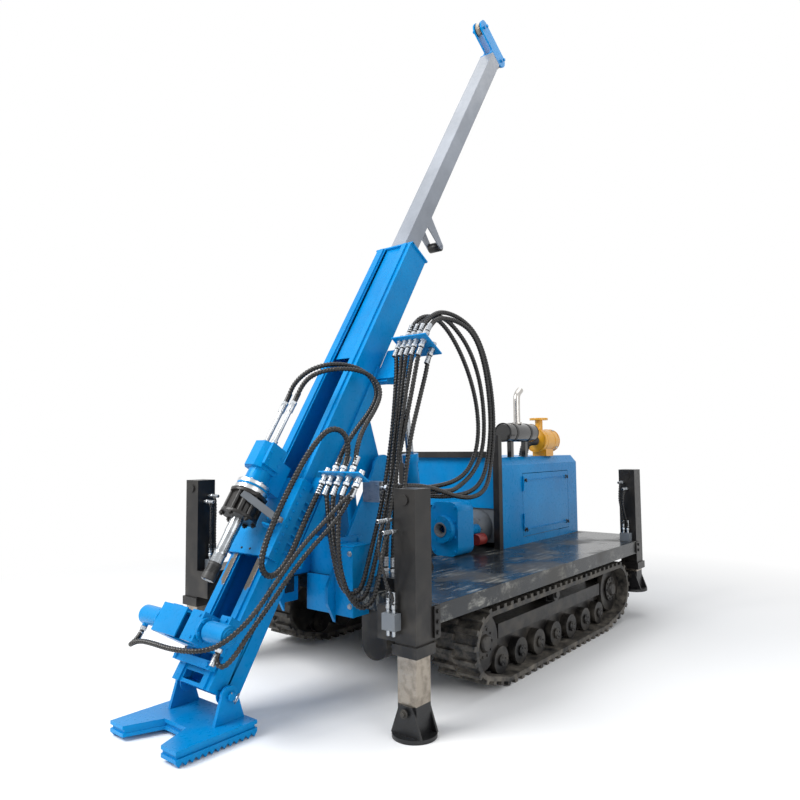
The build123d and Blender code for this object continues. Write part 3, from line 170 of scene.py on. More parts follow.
def paint(name, base, deep, rough=0.3, coat=0.5, dust=0.25, dustTop=1.1, peel=0.00004, bare=None,
          specular=0.5, tint=(1, 1, 1)):
    """Sprayed paint: slow colour drift, fine mottle, dust that thickens towards the ground, orange peel.
    bare gives the mask of where the paint is worn off down to the steel."""
    material, tree, surface = startMaterial(name)
    even = stretched(tree, (1, 1, 1))
    drift = ranged(tree, noise(tree, even, 0.5), 0.3, 0.75)
    colour = mixed(tree, drift, toLinear(base), toLinear(deep))
    low = ranged(tree, coordinate(tree, "Z", even), 0.05, dustTop, dust, 0.04)
    patches = ranged(tree, noise(tree, even, 0.12, 2.0, 0.5), 0.42, 0.72)
    film = multiplied(tree, low, patches)
    colour = mixed(tree, film, colour, toLinear(palette["dust"]))
    if bare:
        mask = bare(tree)
        colour = mixed(tree, mask, colour, toLinear(palette["steelDark"]))
        wire(tree, surface, {"Metallic": multiplied(tree, mask, 0.85)})
    mottle = ranged(tree, noise(tree, even, 0.03), 0.3, 0.7, rough * 0.85, rough * 1.25)
    roughness = figured(tree, "ADD", mottle, multiplied(tree, film, 0.5))
    wire(tree, surface, {"Base Color": colour, "Roughness": roughness, "Coat Weight": coat, "Coat Roughness": 0.12,
                         "Specular IOR Level": specular, "Specular Tint": (*tint, 1)})
    bumped(tree, surface, noise(tree, even, 0.004, 2.0), peel)
    return material


def bareMetal(name, base, deep, rough=0.3, stretch=(1, 1, 30), grain=0.002, depth=0.00005, stain=0.5):
    """Machined or drawn metal: fine lines along one way, with stains."""
    material, tree, surface = startMaterial(name)
    lines = noise(tree, stretched(tree, stretch), grain * max(stretch), 3.0)
    even = stretched(tree, (1, 1, 1))
    patches = multiplied(tree, ranged(tree, noise(tree, even, 0.06, 5.0, 0.6), 0.45, 0.75), stain)
    colour = mixed(tree, patches, toLinear(base), toLinear(deep))
    wire(tree, surface, {"Base Color": colour, "Metallic": 1.0,
                         "Roughness": ranged(tree, lines, 0.3, 0.7, rough * 0.7, rough * 1.4)})
    bumped(tree, surface, lines, depth)
    return material


def rubber(name, base, dust=0.3, rough=0.55, grain=0.006, depth=0.0002, dustTop=0.9):
    """Moulded rubber with a fine grain and pale dust on it."""
    material, tree, surface = startMaterial(name)
    even = stretched(tree, (1, 1, 1))
    low = ranged(tree, coordinate(tree, "Z", even), 0.0, dustTop, dust, dust * 0.3)
    patches = ranged(tree, noise(tree, even, 0.09, 8.0, 0.7), 0.38, 0.7)
    film = multiplied(tree, low, patches)
    colour = mixed(tree, film, toLinear(base), toLinear(palette["dust"]))
    wire(tree, surface, {"Base Color": colour, "Specular IOR Level": 0.4,
                         "Roughness": ranged(tree, patches, 0.0, 1.0, rough * 0.75, rough * 1.3)})
    bumped(tree, surface, noise(tree, even, grain, 3.0), depth)
    return material


def deckPlate(name):
    """Painted deck plate: dark gloss with walked-on scuffs, long drag marks and dried puddles."""
    material, tree, surface = startMaterial(name)
    even = stretched(tree, (1, 1, 1))
    drags = ranged(tree, noise(tree, stretched(tree, (0.35, 3.2, 1)), 0.12, 8.0, 0.7), 0.48, 0.62)
    scuffs = ranged(tree, noise(tree, even, 0.22, 9.0, 0.72), 0.47, 0.62)
    puddles = ranged(tree, noise(tree, even, 0.6, 3.0), 0.52, 0.62)
    towardsFront = ranged(tree, coordinate(tree, "X", even), -1.9, 0.6, 0.25, 0.9)
    worn = multiplied(tree, multiplied(tree, drags, scuffs), towardsFront)
    colour = mixed(tree, worn, toLinear(palette["deck"]), toLinear(palette["deckScuff"]))
    colour = mixed(tree, multiplied(tree, puddles, 0.12), colour, toLinear(palette["dust"]))
    wire(tree, surface, {"Base Color": colour, "Roughness": ranged(tree, puddles, 0.0, 1.0, 0.26, 0.55),
                         "Coat Weight": 0.12, "Specular IOR Level": 0.35})
    bumped(tree, surface, noise(tree, even, 0.05, 6.0), 0.0006)
    return material


def dotted(tree, vector, way):
    """Length of a vector along a way."""
    return addNode(tree, "ShaderNodeVectorMath", {0: vector, 1: way}, operation="DOT_PRODUCT").outputs["Value"]


def railWear(tree):
    """Where the carriage has rubbed the rails bare: on their tops, in one stretch with ragged ends."""
    place = stretched(tree, (1, 1, 1))
    lean = math.radians(mast["lean"])
    foot = (mast["footX"], 0, mast["footZ"])
    fromFoot = addNode(tree, "ShaderNodeVectorMath", {0: place, 1: foot}, operation="SUBTRACT").outputs[0]
    s = dotted(tree, fromFoot, (-math.sin(lean), 0, math.cos(lean)))
    t = dotted(tree, fromFoot, (math.cos(lean), 0, math.sin(lean)))
    ragged = figured(tree, "ADD", s, multiplied(tree, noise(tree, place, 0.05, 6.0), 0.16))
    low = ranged(tree, ragged, mast["wearLow"], mast["wearLow"] + 0.02)
    high = ranged(tree, ragged, mast["wearHigh"], mast["wearHigh"] + 0.02, 1.0, 0.0)
    top = ranged(tree, t, 0.010, 0.013)
    return multiplied(tree, multiplied(tree, low, high), top)


def paintedFoot(name, top):
    """Drawn steel tube above the given height and black paint on the foot below it."""
    material = bareMetal(name, palette["steel"], palette["steelDark"], 0.38, (1, 1, 25), stain=0.85)
    tree = material.node_tree
    surface = next(n for n in tree.nodes if n.type == "BSDF_PRINCIPLED")
    above = ranged(tree, coordinate(tree, "Z", stretched(tree, (1, 1, 1))), top, top + 0.002)
    colour = surface.inputs["Base Color"].links[0].from_socket
    wire(tree, surface, {"Base Color": mixed(tree, above, toLinear(palette["black"]), colour), "Metallic": above})
    return material


blueGloss = {"rough": 0.28, "coat": 0.02, "dust": 0.05, "peel": 0.0, "specular": 0.3, "tint": (0.1, 0.55, 1.0)}
blue = paint("Gloss blue machine paint", palette["blue"], palette["blueDeep"], **blueGloss)
mastBlue = paint("Gloss blue paint with worn rails", palette["blue"], palette["blueDeep"], bare=railWear, **blueGloss)
boomGrey = paint("Grey mast paint", palette["boomGrey"], palette["boomShade"], 0.42, 0.25, 0.1)
black = paint("Satin black chassis paint", palette["black"], palette["blackWarm"], 0.36, 0.10, 0.25, 0.9,
              specular=0.3)
glossBlack = paint("Gloss black muffler enamel", palette["black"], palette["blackWarm"], 0.16, 0.5, 0.05)
deckPaint = deckPlate("Walked-on black deck plate")
yellow = paint("Yellow filter paint", palette["yellow"], palette["yellowDeep"], 0.34, 0.4, 0.1)
red = paint("Red primer paint", palette["red"], "#5C120E", 0.4, 0.2, 0.2)
castGrey = paint("Grey cast housing paint", palette["cast"], "#565B61", 0.5, 0.1, 0.3)
plastic = paint("Black moulded plastic", palette["plastic"], "#1D1E20", 0.45, 0.0, 0.2, peel=0.0001)
steel = bareMetal("Worn bare steel tube", palette["steel"], palette["steelDark"], 0.38, (1, 1, 25), stain=0.85)
zinc = bareMetal("Zinc plated fitting steel", palette["zinc"], "#7E8388", 0.34, stain=0.5)
chrome = bareMetal("Hard chrome rod", palette["chrome"], "#6F7377", 0.22, stain=0.5, depth=0.00001)
aluminium = bareMetal("Turned aluminium", palette["aluminium"], "#9C9FA3", 0.28, stain=0.3)
exhaustSteel = bareMetal("Heat-tinted exhaust steel", "#BDBAB6", "#8C8378", 0.24, (1, 1, 6), stain=0.25)
trackRubber = rubber("Track rubber", palette["rubber"], 0.85, 0.6, 0.008, 0.0004)
guardPlastic = rubber("Spiral hose guard", palette["guard"], 0.12, 0.26, 0.004, 0.00008, 3.0)
print("materials made")


# Meshes

def mastMatrix():
    """Turns (t, y, s) of the mast, with s up along it, into the row frame."""
    lean = math.radians(mast["lean"])
    return Matrix(((math.cos(lean), 0, -math.sin(lean), mast["footX"]), (0, 1, 0, 0),
                   (math.sin(lean), 0, math.cos(lean), mast["footZ"]), (0, 0, 0, 1)))


onMast = mastMatrix()
mastUp = onMast.to_3x3() @ Vector((0, 0, 1))
mastOut = onMast.to_3x3() @ Vector((1, 0, 0))
upWay, leftWay, frontWay = Vector((0, 0, 1)), Vector((0, 1, 0)), Vector((1, 0, 0))


def mastPoint(t, y, s):
    """Point t in front of the mast's face, y to the left and s up along it."""
    return onMast @ Vector((t, y, s))


def facing(place, way, turn=0.0):
    """Matrix that puts a shape's own Z along way at place."""
    return Matrix.Translation(Vector(place)) @ Vector(way).to_track_quat("Z", "Y").to_matrix().to_4x4() @ \
        Matrix.Rotation(turn, 4, "Z")


def gridFaces(rows, sides):
    """Four-sided faces between rows of points, where each row is a closed ring."""
    ring = np.arange(sides)
    after = (ring + 1) % sides
    row = np.arange(rows - 1)[:, None] * sides
    faces = np.stack([row + ring, row + after, row + sides + after, row + sides + ring], axis=-1)
    return faces.reshape(-1, 4).tolist()


def circle(sides):
    """Angles evenly round a circle."""
    return np.linspace(0, 2 * math.pi, sides, endpoint=False)


def lathe(profile, sides=24):
    """(radius, height) pairs turned about Z: x = r cos a, y = r sin a; a zero radius at an end closes it."""
    profile = np.array(profile, float)
    radius, angle = profile[:, :1], circle(sides)
    height = np.repeat(profile[:, 1:], sides, axis=1)
    points = np.stack([radius * np.cos(angle), radius * np.sin(angle), height], axis=-1)
    return points.reshape(-1, 3), gridFaces(len(profile), sides)


def prism(outline, low, high):
    """Flat outline of (x, y) pairs, given anticlockwise, raised from low to high."""
    outline = np.array(outline, float)
    count = len(outline)
    points = np.vstack([np.column_stack([outline, np.full(count, z)]) for z in (low, high)])
    ring = np.arange(count)
    return points, gridFaces(2, count) + [ring[::-1].tolist(), (ring + count).tolist()]


def brick(low, high):
    """Box between two opposite corners."""
    (x0, y0, z0), (x1, y1, z1) = low, high
    return prism(((x0, y0), (x1, y0), (x1, y1), (x0, y1)), z0, z1)


def placed(shape, matrix):
    """Shape carried by a matrix."""
    points, faces = shape
    m = np.array(matrix)
    return points @ m[:3, :3].T + m[:3, 3], faces


def turned(profile, sides, place, way):
    """Turned shape that stands at place with its axis along way."""
    return placed(lathe(profile, sides), facing(place, way))


def mastBrick(low, high):
    """Brick between two corners given as (t, y, s) of the mast."""
    return placed(brick(low, high), onMast)


def joined(shapes):
    """Points and faces of several shapes in one list each."""
    points, faces, count = [], [], 0
    for p, f in shapes:
        points.append(p)
        faces += [[i + count for i in face] for face in f]
        count += len(p)
    return np.vstack(points), faces


def roundEdges(obj, bevel, angle):
    """Welds close points, and rounds the edges whose faces meet at more than angle degrees."""
    obj.modifiers.new("Weld", "WELD").merge_threshold = edges["weld"]
    if bevel:
        edge = obj.modifiers.new("Bevel", "BEVEL")
        edge.width = bevel
        edge.segments = 2
        edge.limit_method = "ANGLE"
        edge.angle_limit = math.radians(angle)
        edge.harden_normals = True


def addObject(name, data):
    """Object at the origin that holds a mesh, lamp or camera."""
    obj = bpy.data.objects.new(name, data)
    bpy.context.scene.collection.objects.link(obj)
    return obj


def addMesh(name, shapes, material):
    """One mesh object at the origin from several shapes."""
    points, faces = joined(shapes)
    mesh = bpy.data.meshes.new(name)
    mesh.from_pydata(points.tolist(), [], faces)
    mesh.update()
    mesh.materials.append(material)
    return addObject(name, mesh)


def addPiece(name, shapes, material, body, bevel=0.0, replaces=()):
    """Mesh object that rides on a body, welded, with rounded edges and smooth round faces."""
    obj = addMesh(name, shapes, material)
    mesh = obj.data
    mesh.shade_smooth()
    roundEdges(obj, bevel, edges["pieceAngle"])
    mesh.set_sharp_from_angle(angle=math.radians(edges["pieceAngle"]))
    if body:
        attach(obj, body)
    if replaces:
        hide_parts(*replaces)
    return obj


# Hoses

hoseKinds = {
    "loop": {"radius": 0.017, "ferrule": 0.0185, "nut": 0.0225},
    "deck": {"radius": 0.018, "ferrule": 0.0190, "nut": 0.0230},
    "head": {"radius": 0.017, "ferrule": 0.0185, "nut": 0.0225},
    "side": {"radius": 0.019, "ferrule": 0.0200, "nut": 0.0235},
    "clamp": {"radius": 0.015, "ferrule": 0.0165, "nut": 0.0200},
    "leg": {"radius": 0.0095, "ferrule": 0.0125, "nut": 0.0155},
}
hoseLook = {"lead": 0.060, "step": 0.004, "sides": 12, "guardPitch": 0.022, "guardDepth": 0.0042,
            "guardStart": 0.075, "ferruleStart": 0.036, "ferruleLength": 0.058, "grooves": 3}

# Brackets on the mast: s up along it, plate thickness, half a fitting's length, (y, t) of each fitting
brackets = {
    "upper": {"s": 2.600, "plate": 0.010, "half": 0.045, "fittings": (
        (0.385, -0.120), (0.435, -0.120), (0.485, -0.120), (0.535, -0.120), (0.590, -0.130), (0.600, -0.230))},
    "lower": {"s": 1.440, "plate": 0.010, "half": 0.045, "fittings": (
        (0.335, -0.020), (0.385, -0.030), (0.455, -0.030), (0.535, -0.030), (0.610, -0.040), (0.572, -0.066))},
}
# Block on the deck and its upright ports, and the ports on the outer side of the CAD's valve block
manifold = {"low": (0.930, 0.500, 0.704), "high": (1.050, 0.700, 0.775), "port": 0.018, "portLength": 0.030,
            "sideLength": 0.032}
# Other ports: middle of each end face and the way out of it
ports = {
    "valve": ((Vector((0.750, 0.385, 1.270)), -frontWay), (Vector((0.750, 0.385, 1.330)), -frontWay)),
    "valveSide": ((Vector((0.835, 0.442, 1.270)), leftWay), (Vector((0.875, 0.442, 1.330)), leftWay)),
    "manifold": tuple((Vector((0.990, y, 0.800)), upWay) for y in (0.540, 0.600, 0.660)),
    "head": tuple((mastPoint(0.205, y, 1.850), mastUp) for y in (-0.005, -0.090)),
    "clamp": tuple((mastPoint(0.205, y, 0.262), -mastUp) for y in (-0.370, 0.370)),
}

# Each hose: kind, fitting at either end, bodies of the ends, and the route between the two leads
hoseRoutes = {
    "hose_loop_1": ("loop", ("upper", 0, -1), ("lower", 1, -1), ("saddle", "mast"), (
        (0.695, 0.405, 2.205), (0.745, 0.430, 1.965), (0.795, 0.440, 1.695), (0.855, 0.440, 1.420),
        (0.925, 0.435, 1.155), (1.040, 0.455, 0.927), (1.120, 0.480, 0.800), (1.180, 0.500, 0.725),
        (1.240, 0.505, 0.692), (1.300, 0.485, 0.705), (1.340, 0.468, 0.770), (1.362, 0.450, 0.870),
        (1.385, 0.425, 1.065), (1.380, 0.400, 1.240))),
    "hose_loop_2": ("loop", ("upper", 2, -1), ("lower", 2, -1), ("saddle", "mast"), (
        (0.705, 0.490, 2.205), (0.755, 0.495, 1.985), (0.805, 0.495, 1.695), (0.870, 0.495, 1.415),
        (0.950, 0.495, 1.145), (1.075, 0.530, 0.897), (1.160, 0.555, 0.765), (1.212, 0.567, 0.695),
        (1.267, 0.562, 0.665), (1.318, 0.545, 0.680), (1.360, 0.525, 0.750), (1.390, 0.500, 0.885),
        (1.415, 0.475, 1.090), (1.395, 0.460, 1.260))),
    "hose_loop_3": ("loop", ("upper", 4, -1), ("lower", 3, -1), ("saddle", "mast"), (
        (0.690, 0.585, 2.200), (0.750, 0.570, 1.940), (0.815, 0.550, 1.670), (0.890, 0.545, 1.415),
        (0.970, 0.555, 1.155), (1.100, 0.600, 0.890), (1.190, 0.635, 0.735), (1.235, 0.635, 0.660),
        (1.285, 0.615, 0.632), (1.330, 0.595, 0.650), (1.372, 0.575, 0.712), (1.405, 0.555, 0.805),
        (1.430, 0.545, 0.935), (1.435, 0.540, 1.110), (1.405, 0.535, 1.260))),
    "hose_deck_1": ("deck", ("upper", 4, 1), ("valve", 0), ("saddle", "chassis"), (
        (0.510, 0.575, 2.475), (0.440, 0.565, 2.525), (0.325, 0.540, 2.555), (0.190, 0.530, 2.565),
        (0.060, 0.535, 2.550), (-0.030, 0.560, 2.500), (-0.105, 0.580, 2.400), (-0.175, 0.590, 2.235),
        (-0.240, 0.585, 2.010), (-0.275, 0.575, 1.780), (-0.270, 0.560, 1.585), (-0.230, 0.555, 1.440),
        (-0.165, 0.555, 1.340), (-0.070, 0.550, 1.275), (0.070, 0.540, 1.240), (0.270, 0.520, 1.235),
        (0.450, 0.500, 1.250), (0.600, 0.455, 1.265))),
    "hose_deck_2": ("deck", ("upper", 1, 1), ("valve", 1), ("saddle", "chassis"), (
        (0.540, 0.445, 2.490), (0.485, 0.460, 2.545), (0.395, 0.480, 2.570), (0.295, 0.495, 2.545),
        (0.170, 0.505, 2.460), (0.040, 0.515, 2.315), (-0.075, 0.520, 2.135), (-0.155, 0.520, 1.945),
        (-0.190, 0.515, 1.760), (-0.180, 0.505, 1.605), (-0.130, 0.495, 1.490), (-0.055, 0.485, 1.405),
        (0.060, 0.470, 1.345), (0.230, 0.455, 1.315), (0.450, 0.445, 1.305), (0.600, 0.440, 1.315))),
    "hose_head_1": ("head", ("head", 0), ("lower", 3, 1), ("head", "mast"), (
        (1.262, 0.045, 2.030), (1.255, 0.120, 2.085), (1.190, 0.205, 2.125), (1.065, 0.310, 2.135),
        (0.955, 0.365, 2.105), (0.900, 0.400, 2.045), (0.905, 0.435, 1.970), (0.985, 0.465, 1.870),
        (1.165, 0.495, 1.710), (1.245, 0.520, 1.580))),
    "hose_head_2": ("head", ("head", 1), ("lower", 1, 1), ("head", "mast"), (
        (1.262, -0.050, 2.030), (1.258, 0.030, 2.090), (1.235, 0.115, 2.135), (1.170, 0.195, 2.165),
        (1.055, 0.250, 2.168), (0.950, 0.295, 2.140), (0.890, 0.340, 2.080), (0.880, 0.375, 2.005),
        (0.920, 0.405, 1.925), (1.020, 0.425, 1.830), (1.150, 0.425, 1.715), (1.235, 0.405, 1.600))),
    "hose_side": ("side", ("lower", 2, 1), ("lower", 0, -1), ("mast", "mast"), (
        (1.262, 0.468, 1.595), (1.280, 0.472, 1.665), (1.320, 0.460, 1.712), (1.375, 0.437, 1.722),
        (1.430, 0.410, 1.690), (1.530, 0.365, 1.550), (1.660, 0.350, 1.350), (1.785, 0.345, 1.140),
        (1.840, 0.340, 1.010), (1.848, 0.335, 0.930), (1.810, 0.330, 0.872), (1.745, 0.325, 0.860),
        (1.680, 0.325, 0.895), (1.605, 0.330, 0.985), (1.510, 0.335, 1.160))),
    "hose_clamp": ("clamp", ("lower", 4, -1), ("clamp", 0), ("mast", "mast"), (
        (1.450, 0.590, 1.280), (1.570, 0.570, 1.175), (1.705, 0.550, 1.070), (1.820, 0.535, 0.955),
        (1.930, 0.520, 0.835), (2.035, 0.510, 0.725), (2.120, 0.480, 0.645), (2.185, 0.415, 0.580),
        (2.225, 0.325, 0.545), (2.260, 0.215, 0.535), (2.275, 0.090, 0.530), (2.275, -0.040, 0.530),
        (2.270, -0.150, 0.525), (2.270, -0.225, 0.515), (2.275, -0.280, 0.495), (2.260, -0.330, 0.475),
        (2.225, -0.360, 0.475))),
}


def fittingEnd(kind, index, side=1):
    """Middle of a fitting's end face, and the way out of it; a bracket's fittings have an upper and a lower end."""
    if kind in ports:
        return ports[kind][index]
    bracket = brackets[kind]
    y, t = bracket["fittings"][index]
    return mastPoint(t, y, bracket["s"] + bracket["plate"] / 2 + side * bracket["half"]), mastUp * side


def splinePath(name, points):
    """Evenly spaced points on the smooth spline whose control points are the given ones."""
    curve = bpy.data.curves.new(name, "CURVE")
    curve.dimensions = "3D"
    spline = curve.splines.new("NURBS")
    spline.points.add(len(points) - 1)
    for point, place in zip(spline.points, points):
        point.co = (*place, 1)
    spline.order_u = 3
    spline.use_endpoint_u = True
    curve.resolution_u = 24
    obj = bpy.data.objects.new(name, curve)
    mesh = bpy.data.meshes.new_from_object(obj)
    line = np.array([v.co for v in mesh.vertices])
    bpy.data.objects.remove(obj)
    along = np.concatenate([[0], np.cumsum(np.linalg.norm(np.diff(line, axis=0), axis=1))])
    even = np.linspace(0, along[-1], int(along[-1] / hoseLook["step"]) + 1)
    return np.column_stack([np.interp(even, along, line[:, k]) for k in range(3)]), even


def tubeFrames(path):
    """Two unit vectors across each point of a path, carried along without twist."""
    ways = np.gradient(path, axis=0)
    ways /= np.linalg.norm(ways, axis=1)[:, None]
    first = np.cross(ways[0], (0.3, 0.5, 0.8))
    across = [first / np.linalg.norm(first)]
    for way in ways[1:]:
        side = across[-1] - way * np.dot(across[-1], way)
        across.append(side / np.linalg.norm(side))
    across = np.array(across)
    return across, np.cross(ways, across)


def tubePoints(path, wall, sides):
    """Rings about a path: p = path + wall (across cos a + over sin a)."""
    across, over = tubeFrames(path)
    angle = circle(sides)[None, :, None]
    return (path[:, None] + wall * (across[:, None] * np.cos(angle) + over[:, None] * np.sin(angle))).reshape(-1, 3)


def guardedTube(path, along, radius):
    """Tube with the screw thread of a spiral guard between its bare ends:
    wall = radius - depth (0.5 - 0.5 cos(2 pi along / pitch - a))^2."""
    sides = hoseLook["sides"]
    turn = 2 * math.pi * along[:, None] / hoseLook["guardPitch"] - circle(sides)
    inside = np.clip((np.minimum(along, along[-1] - along) - hoseLook["guardStart"]) / 0.01, 0, 1)
    wall = radius - hoseLook["guardDepth"] * inside[:, None] * (0.5 - 0.5 * np.cos(turn)) ** 2
    return tubePoints(path, wall[..., None], sides), gridFaces(len(path), sides)


def hoseFitting(kind):
    """Nut, short neck and crimped ferrule of a hose end, along Z from the port outwards."""
    nut = kind["nut"]
    hexagon = [(0, 0), (nut * 0.86, 0), (nut, 0.003), (nut, 0.021), (nut * 0.86, 0.024), (0, 0.024)]
    crimp = [(0, 0.022), (nut * 0.66, 0.022), (nut * 0.66, 0.032), (kind["ferrule"] * 0.9, 0.034)]
    start, bands = hoseLook["ferruleStart"], 2 * hoseLook["grooves"] + 1
    span = hoseLook["ferruleLength"] / bands
    for band in range(bands):
        wide = kind["ferrule"] * (1.0 if band % 2 == 0 else 0.9)
        crimp += [(wide, start + band * span), (wide, start + (band + 0.85) * span)]
    crimp += [(kind["radius"] * 0.9, start + hoseLook["ferruleLength"] + 0.001)]
    return [lathe(hexagon, 6), lathe(crimp, 16)]


def addHose(name, kind, start, end, bodies, route, replaces=()):
    """Guarded hose on its smooth line with a fitting at each end; the tube rides on its ends' body when both ends are
    on one, and stays fixed in place when they are on two.
    """
    kind = hoseKinds[kind]
    (first, firstWay), (last, lastWay) = start, end
    points = [first, first + firstWay * hoseLook["lead"]] + [Vector(p) for p in route]
    points += [last + lastWay * hoseLook["lead"], last]
    path, along = splinePath(name + "_line", points)
    same = bodies[0] == bodies[1]
    tube = addPiece(name + "_guarded", [guardedTube(path, along, kind["radius"])], guardPlastic,
                    bodies[0] if same else None, replaces=replaces)
    if not same:
        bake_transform(tube)
    for place, way, body, tag in ((first, firstWay, bodies[0], "_start"), (last, lastWay, bodies[1], "_end")):
        shapes = [placed(shape, facing(place, way)) for shape in hoseFitting(kind)]
        addPiece(name + tag, shapes, zinc, body, 0.0008)


for name, (kind, start, end, bodies, route) in hoseRoutes.items():
    addHose(name, kind, fittingEnd(*start), fittingEnd(*end), bodies, route, (name,))
print("hoses made")


# Small shapes

def hexBolt(size):
    """Washer and hexagon head for a thread of that size, standing on z = 0."""
    washer = [(0, 0), (size * 1.15, 0), (size * 1.15, size * 0.15), (0, size * 0.15)]
    hexagon = [(0, size * 0.1), (size * 0.95, size * 0.1), (size * 0.95, size * 0.68),
               (size * 0.8, size * 0.78), (0, size * 0.78)]
    return [lathe(washer, 16), lathe(hexagon, 6)]


def torus(radius, thick, sides=28, around=10):
    """Ring of round wire about Z: x = (R + r cos b) cos a, y = (R + r cos b) sin a, z = r sin b."""
    turn, tip = circle(sides)[:, None], circle(around)
    far = radius + thick * np.cos(tip)
    z = np.broadcast_to(thick * np.sin(tip), (sides, around))
    points = np.stack([np.cos(turn) * far, np.sin(turn) * far, z], axis=-1).reshape(-1, 3)
    a, b = np.arange(sides)[:, None], np.arange(around)
    nextA, nextB = (a + 1) % sides, (b + 1) % around
    faces = np.stack([a * around + b, nextA * around + b, nextA * around + nextB, a * around + nextB], axis=-1)
    return points, faces.reshape(-1, 4).tolist()


def plainTube(path, radius, sides=10):
    """Round bar along a path of points, closed at both ends."""
    path = np.array(path, float)
    ring = np.arange(sides)
    ends = [ring[::-1].tolist(), (ring + (len(path) - 1) * sides).tolist()]
    return tubePoints(path, radius, sides), gridFaces(len(path), sides) + ends


def strap(radius, half, proud):
    """Band of a cylinder, sunk 1 mm into it and proud of it."""
    return [(radius - 0.001, -half), (radius + proud, -half), (radius + proud, half), (radius - 0.001, half)]


def boltsAt(places, way, size):
    """Bolts of one size that stand on the given points and face one way, each turned a little further."""
    return [placed(shape, facing(place, way, 0.4 * index)) for index, place in enumerate(places)
            for shape in hexBolt(size)]


def ringOf(count, radius, offset=0.0):
    """Points evenly round a circle in the XY plane."""
    angles = [offset + 2 * math.pi * k / count for k in range(count)]
    return [(radius * math.cos(angle), radius * math.sin(angle), 0) for angle in angles]


def onFace(points, place, way):
    """Flat points carried to a face at place whose outward way is given."""
    matrix = facing(place, way)
    return [matrix @ Vector(p) for p in points]


def boltRing(points, place, way, size):
    """One bolt at each of the flat points, carried to a face at place, all turned alike."""
    return [shape for point in onFace(points, place, way) for shape in boltsAt([point], way, size)]


def barBetween(a, b, wide, thick, out):
    """Flat bar between two points, its flat side facing out."""
    a, b, out = Vector(a), Vector(b), Vector(out).normalized()
    way = (b - a).normalized()
    side = out.cross(way).normalized()
    matrix = Matrix((way, side, way.cross(side))).transposed().to_4x4()
    matrix.translation = a
    return placed(brick((0, -wide / 2, -thick / 2), ((b - a).length, wide / 2, thick / 2)), matrix)


# Bulkhead fittings of the two hose brackets

bulkheadLook = {"sleeve": 0.0187, "nut": 0.0245, "nutHeight": 0.014}


def bulkhead(bracket, y, t):
    """Zinc sleeve through the plate with a nut on either side of it."""
    half, plate = bracket["half"], bracket["plate"] / 2
    sleeve, nut, nutTop = bulkheadLook["sleeve"], bulkheadLook["nut"], plate + bulkheadLook["nutHeight"]
    shapes = []
    for side in (1, -1):
        profile = [(0, side * plate), (nut, side * plate), (nut, side * nutTop), (sleeve, side * nutTop)]
        shapes.append(lathe(profile[::side], 6))
        profile = [(sleeve, side * plate), (sleeve, side * (half - 0.001)), (0, side * (half - 0.0005))]
        shapes.append(lathe(profile[::side], 16))
    return [placed(shape, facing(mastPoint(t, y, bracket["s"] + plate), mastUp)) for shape in shapes]


for name, body in (("upper", "saddle"), ("lower", "mast")):
    shapes = [shape for y, t in brackets[name]["fittings"] for shape in bulkhead(brackets[name], y, t)]
    addPiece(name + "_bulkheads", shapes, zinc, body, 0.0008)


# Legs: bolted bars and foot pins

legs = {"frontX": 1.320, "rearX": -2.042, "sideY": 1.023, "half": 0.075, "barThick": 0.014, "bolt": 0.013,
        "frontBar": (-0.140, -0.082, 0.525, 0.700, 3), "rearBar": (0.020, 0.110, 0.600, 0.700, 2),
        "earReach": 0.0937, "earZ": 0.143, "washer": 0.026, "washerThick": 0.005, "pinBolt": 0.014}
bars, barBolts = [], []
for x, (back, front, z0, z1, count) in ((legs["frontX"], legs["frontBar"]), (legs["rearX"], legs["rearBar"])):
    for side in (1, -1):
        y = side * (legs["sideY"] + legs["half"])
        outer = y + side * legs["barThick"]
        bars.append(brick((x + back, min(y, outer), z0), (x + front, max(y, outer), z1)))
        spots = [(x + (back + front) / 2, outer, z0 + (k + 0.5) * (z1 - z0) / count) for k in range(count)]
        barBolts += boltsAt(spots, (0, side, 0), legs["bolt"])
addPiece("leg_clamp_bars", bars, black, "chassis", 0.003)
addPiece("leg_clamp_bolts", barBolts, black, "chassis", 0.0006)

for tag, corner, side, body in (("front_left", "frontX", 1, "leg_fl"), ("front_right", "frontX", -1, "leg_fr"),
                                ("rear_left", "rearX", 1, "leg_rl"), ("rear_right", "rearX", -1, "leg_rr")):
    y, z = side * legs["sideY"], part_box("leg_" + tag)[0][2] + legs["earZ"]
    wide, thick = legs["washer"], legs["washerThick"]
    pins = []
    for way in (1, -1):
        x = legs[corner] + way * legs["earReach"]
        pins.append(turned([(0, 0), (wide, 0), (wide, thick), (0, thick)], 20, (x, y, z), (way, 0, 0)))
        pins += boltsAt([(x + way * thick, y, z)], (way, 0, 0), legs["pinBolt"])
    addPiece("foot_pin_" + tag, pins, black, body, 0.0008)


# Head

head = {"t": 0.205, "ringLow": 1.168, "ringHigh": 1.236, "ringRadius": 0.107, "chuckLow": 1.000,
        "chuckHigh": 1.170, "rods": 6, "rodRadius": 0.012, "rodCircle": 0.104, "nutHeight": 0.013,
        "linkThick": 0.046, "linkWide": 0.014, "threadLow": 0.640, "threads": 6, "pitch": 0.008,
        "boxRadius": 0.0425, "ribs": 7}
axisFrame = onMast @ Matrix.Translation((head["t"], 0, 0))
low, high, wide = head["ringLow"], head["ringHigh"], head["ringRadius"]
ring = [(0.040, low - 0.001), (wide - 0.004, low - 0.001), (wide, low + 0.003), (wide, low + 0.026),
        (wide - 0.006, low + 0.030), (wide - 0.006, high - 0.026), (wide, high - 0.022), (wide, high - 0.003),
        (wide - 0.004, high + 0.001), (0.060, high + 0.001)]
addPiece("chuck_ring", [placed(lathe(ring, 64), axisFrame)], aluminium, "head")

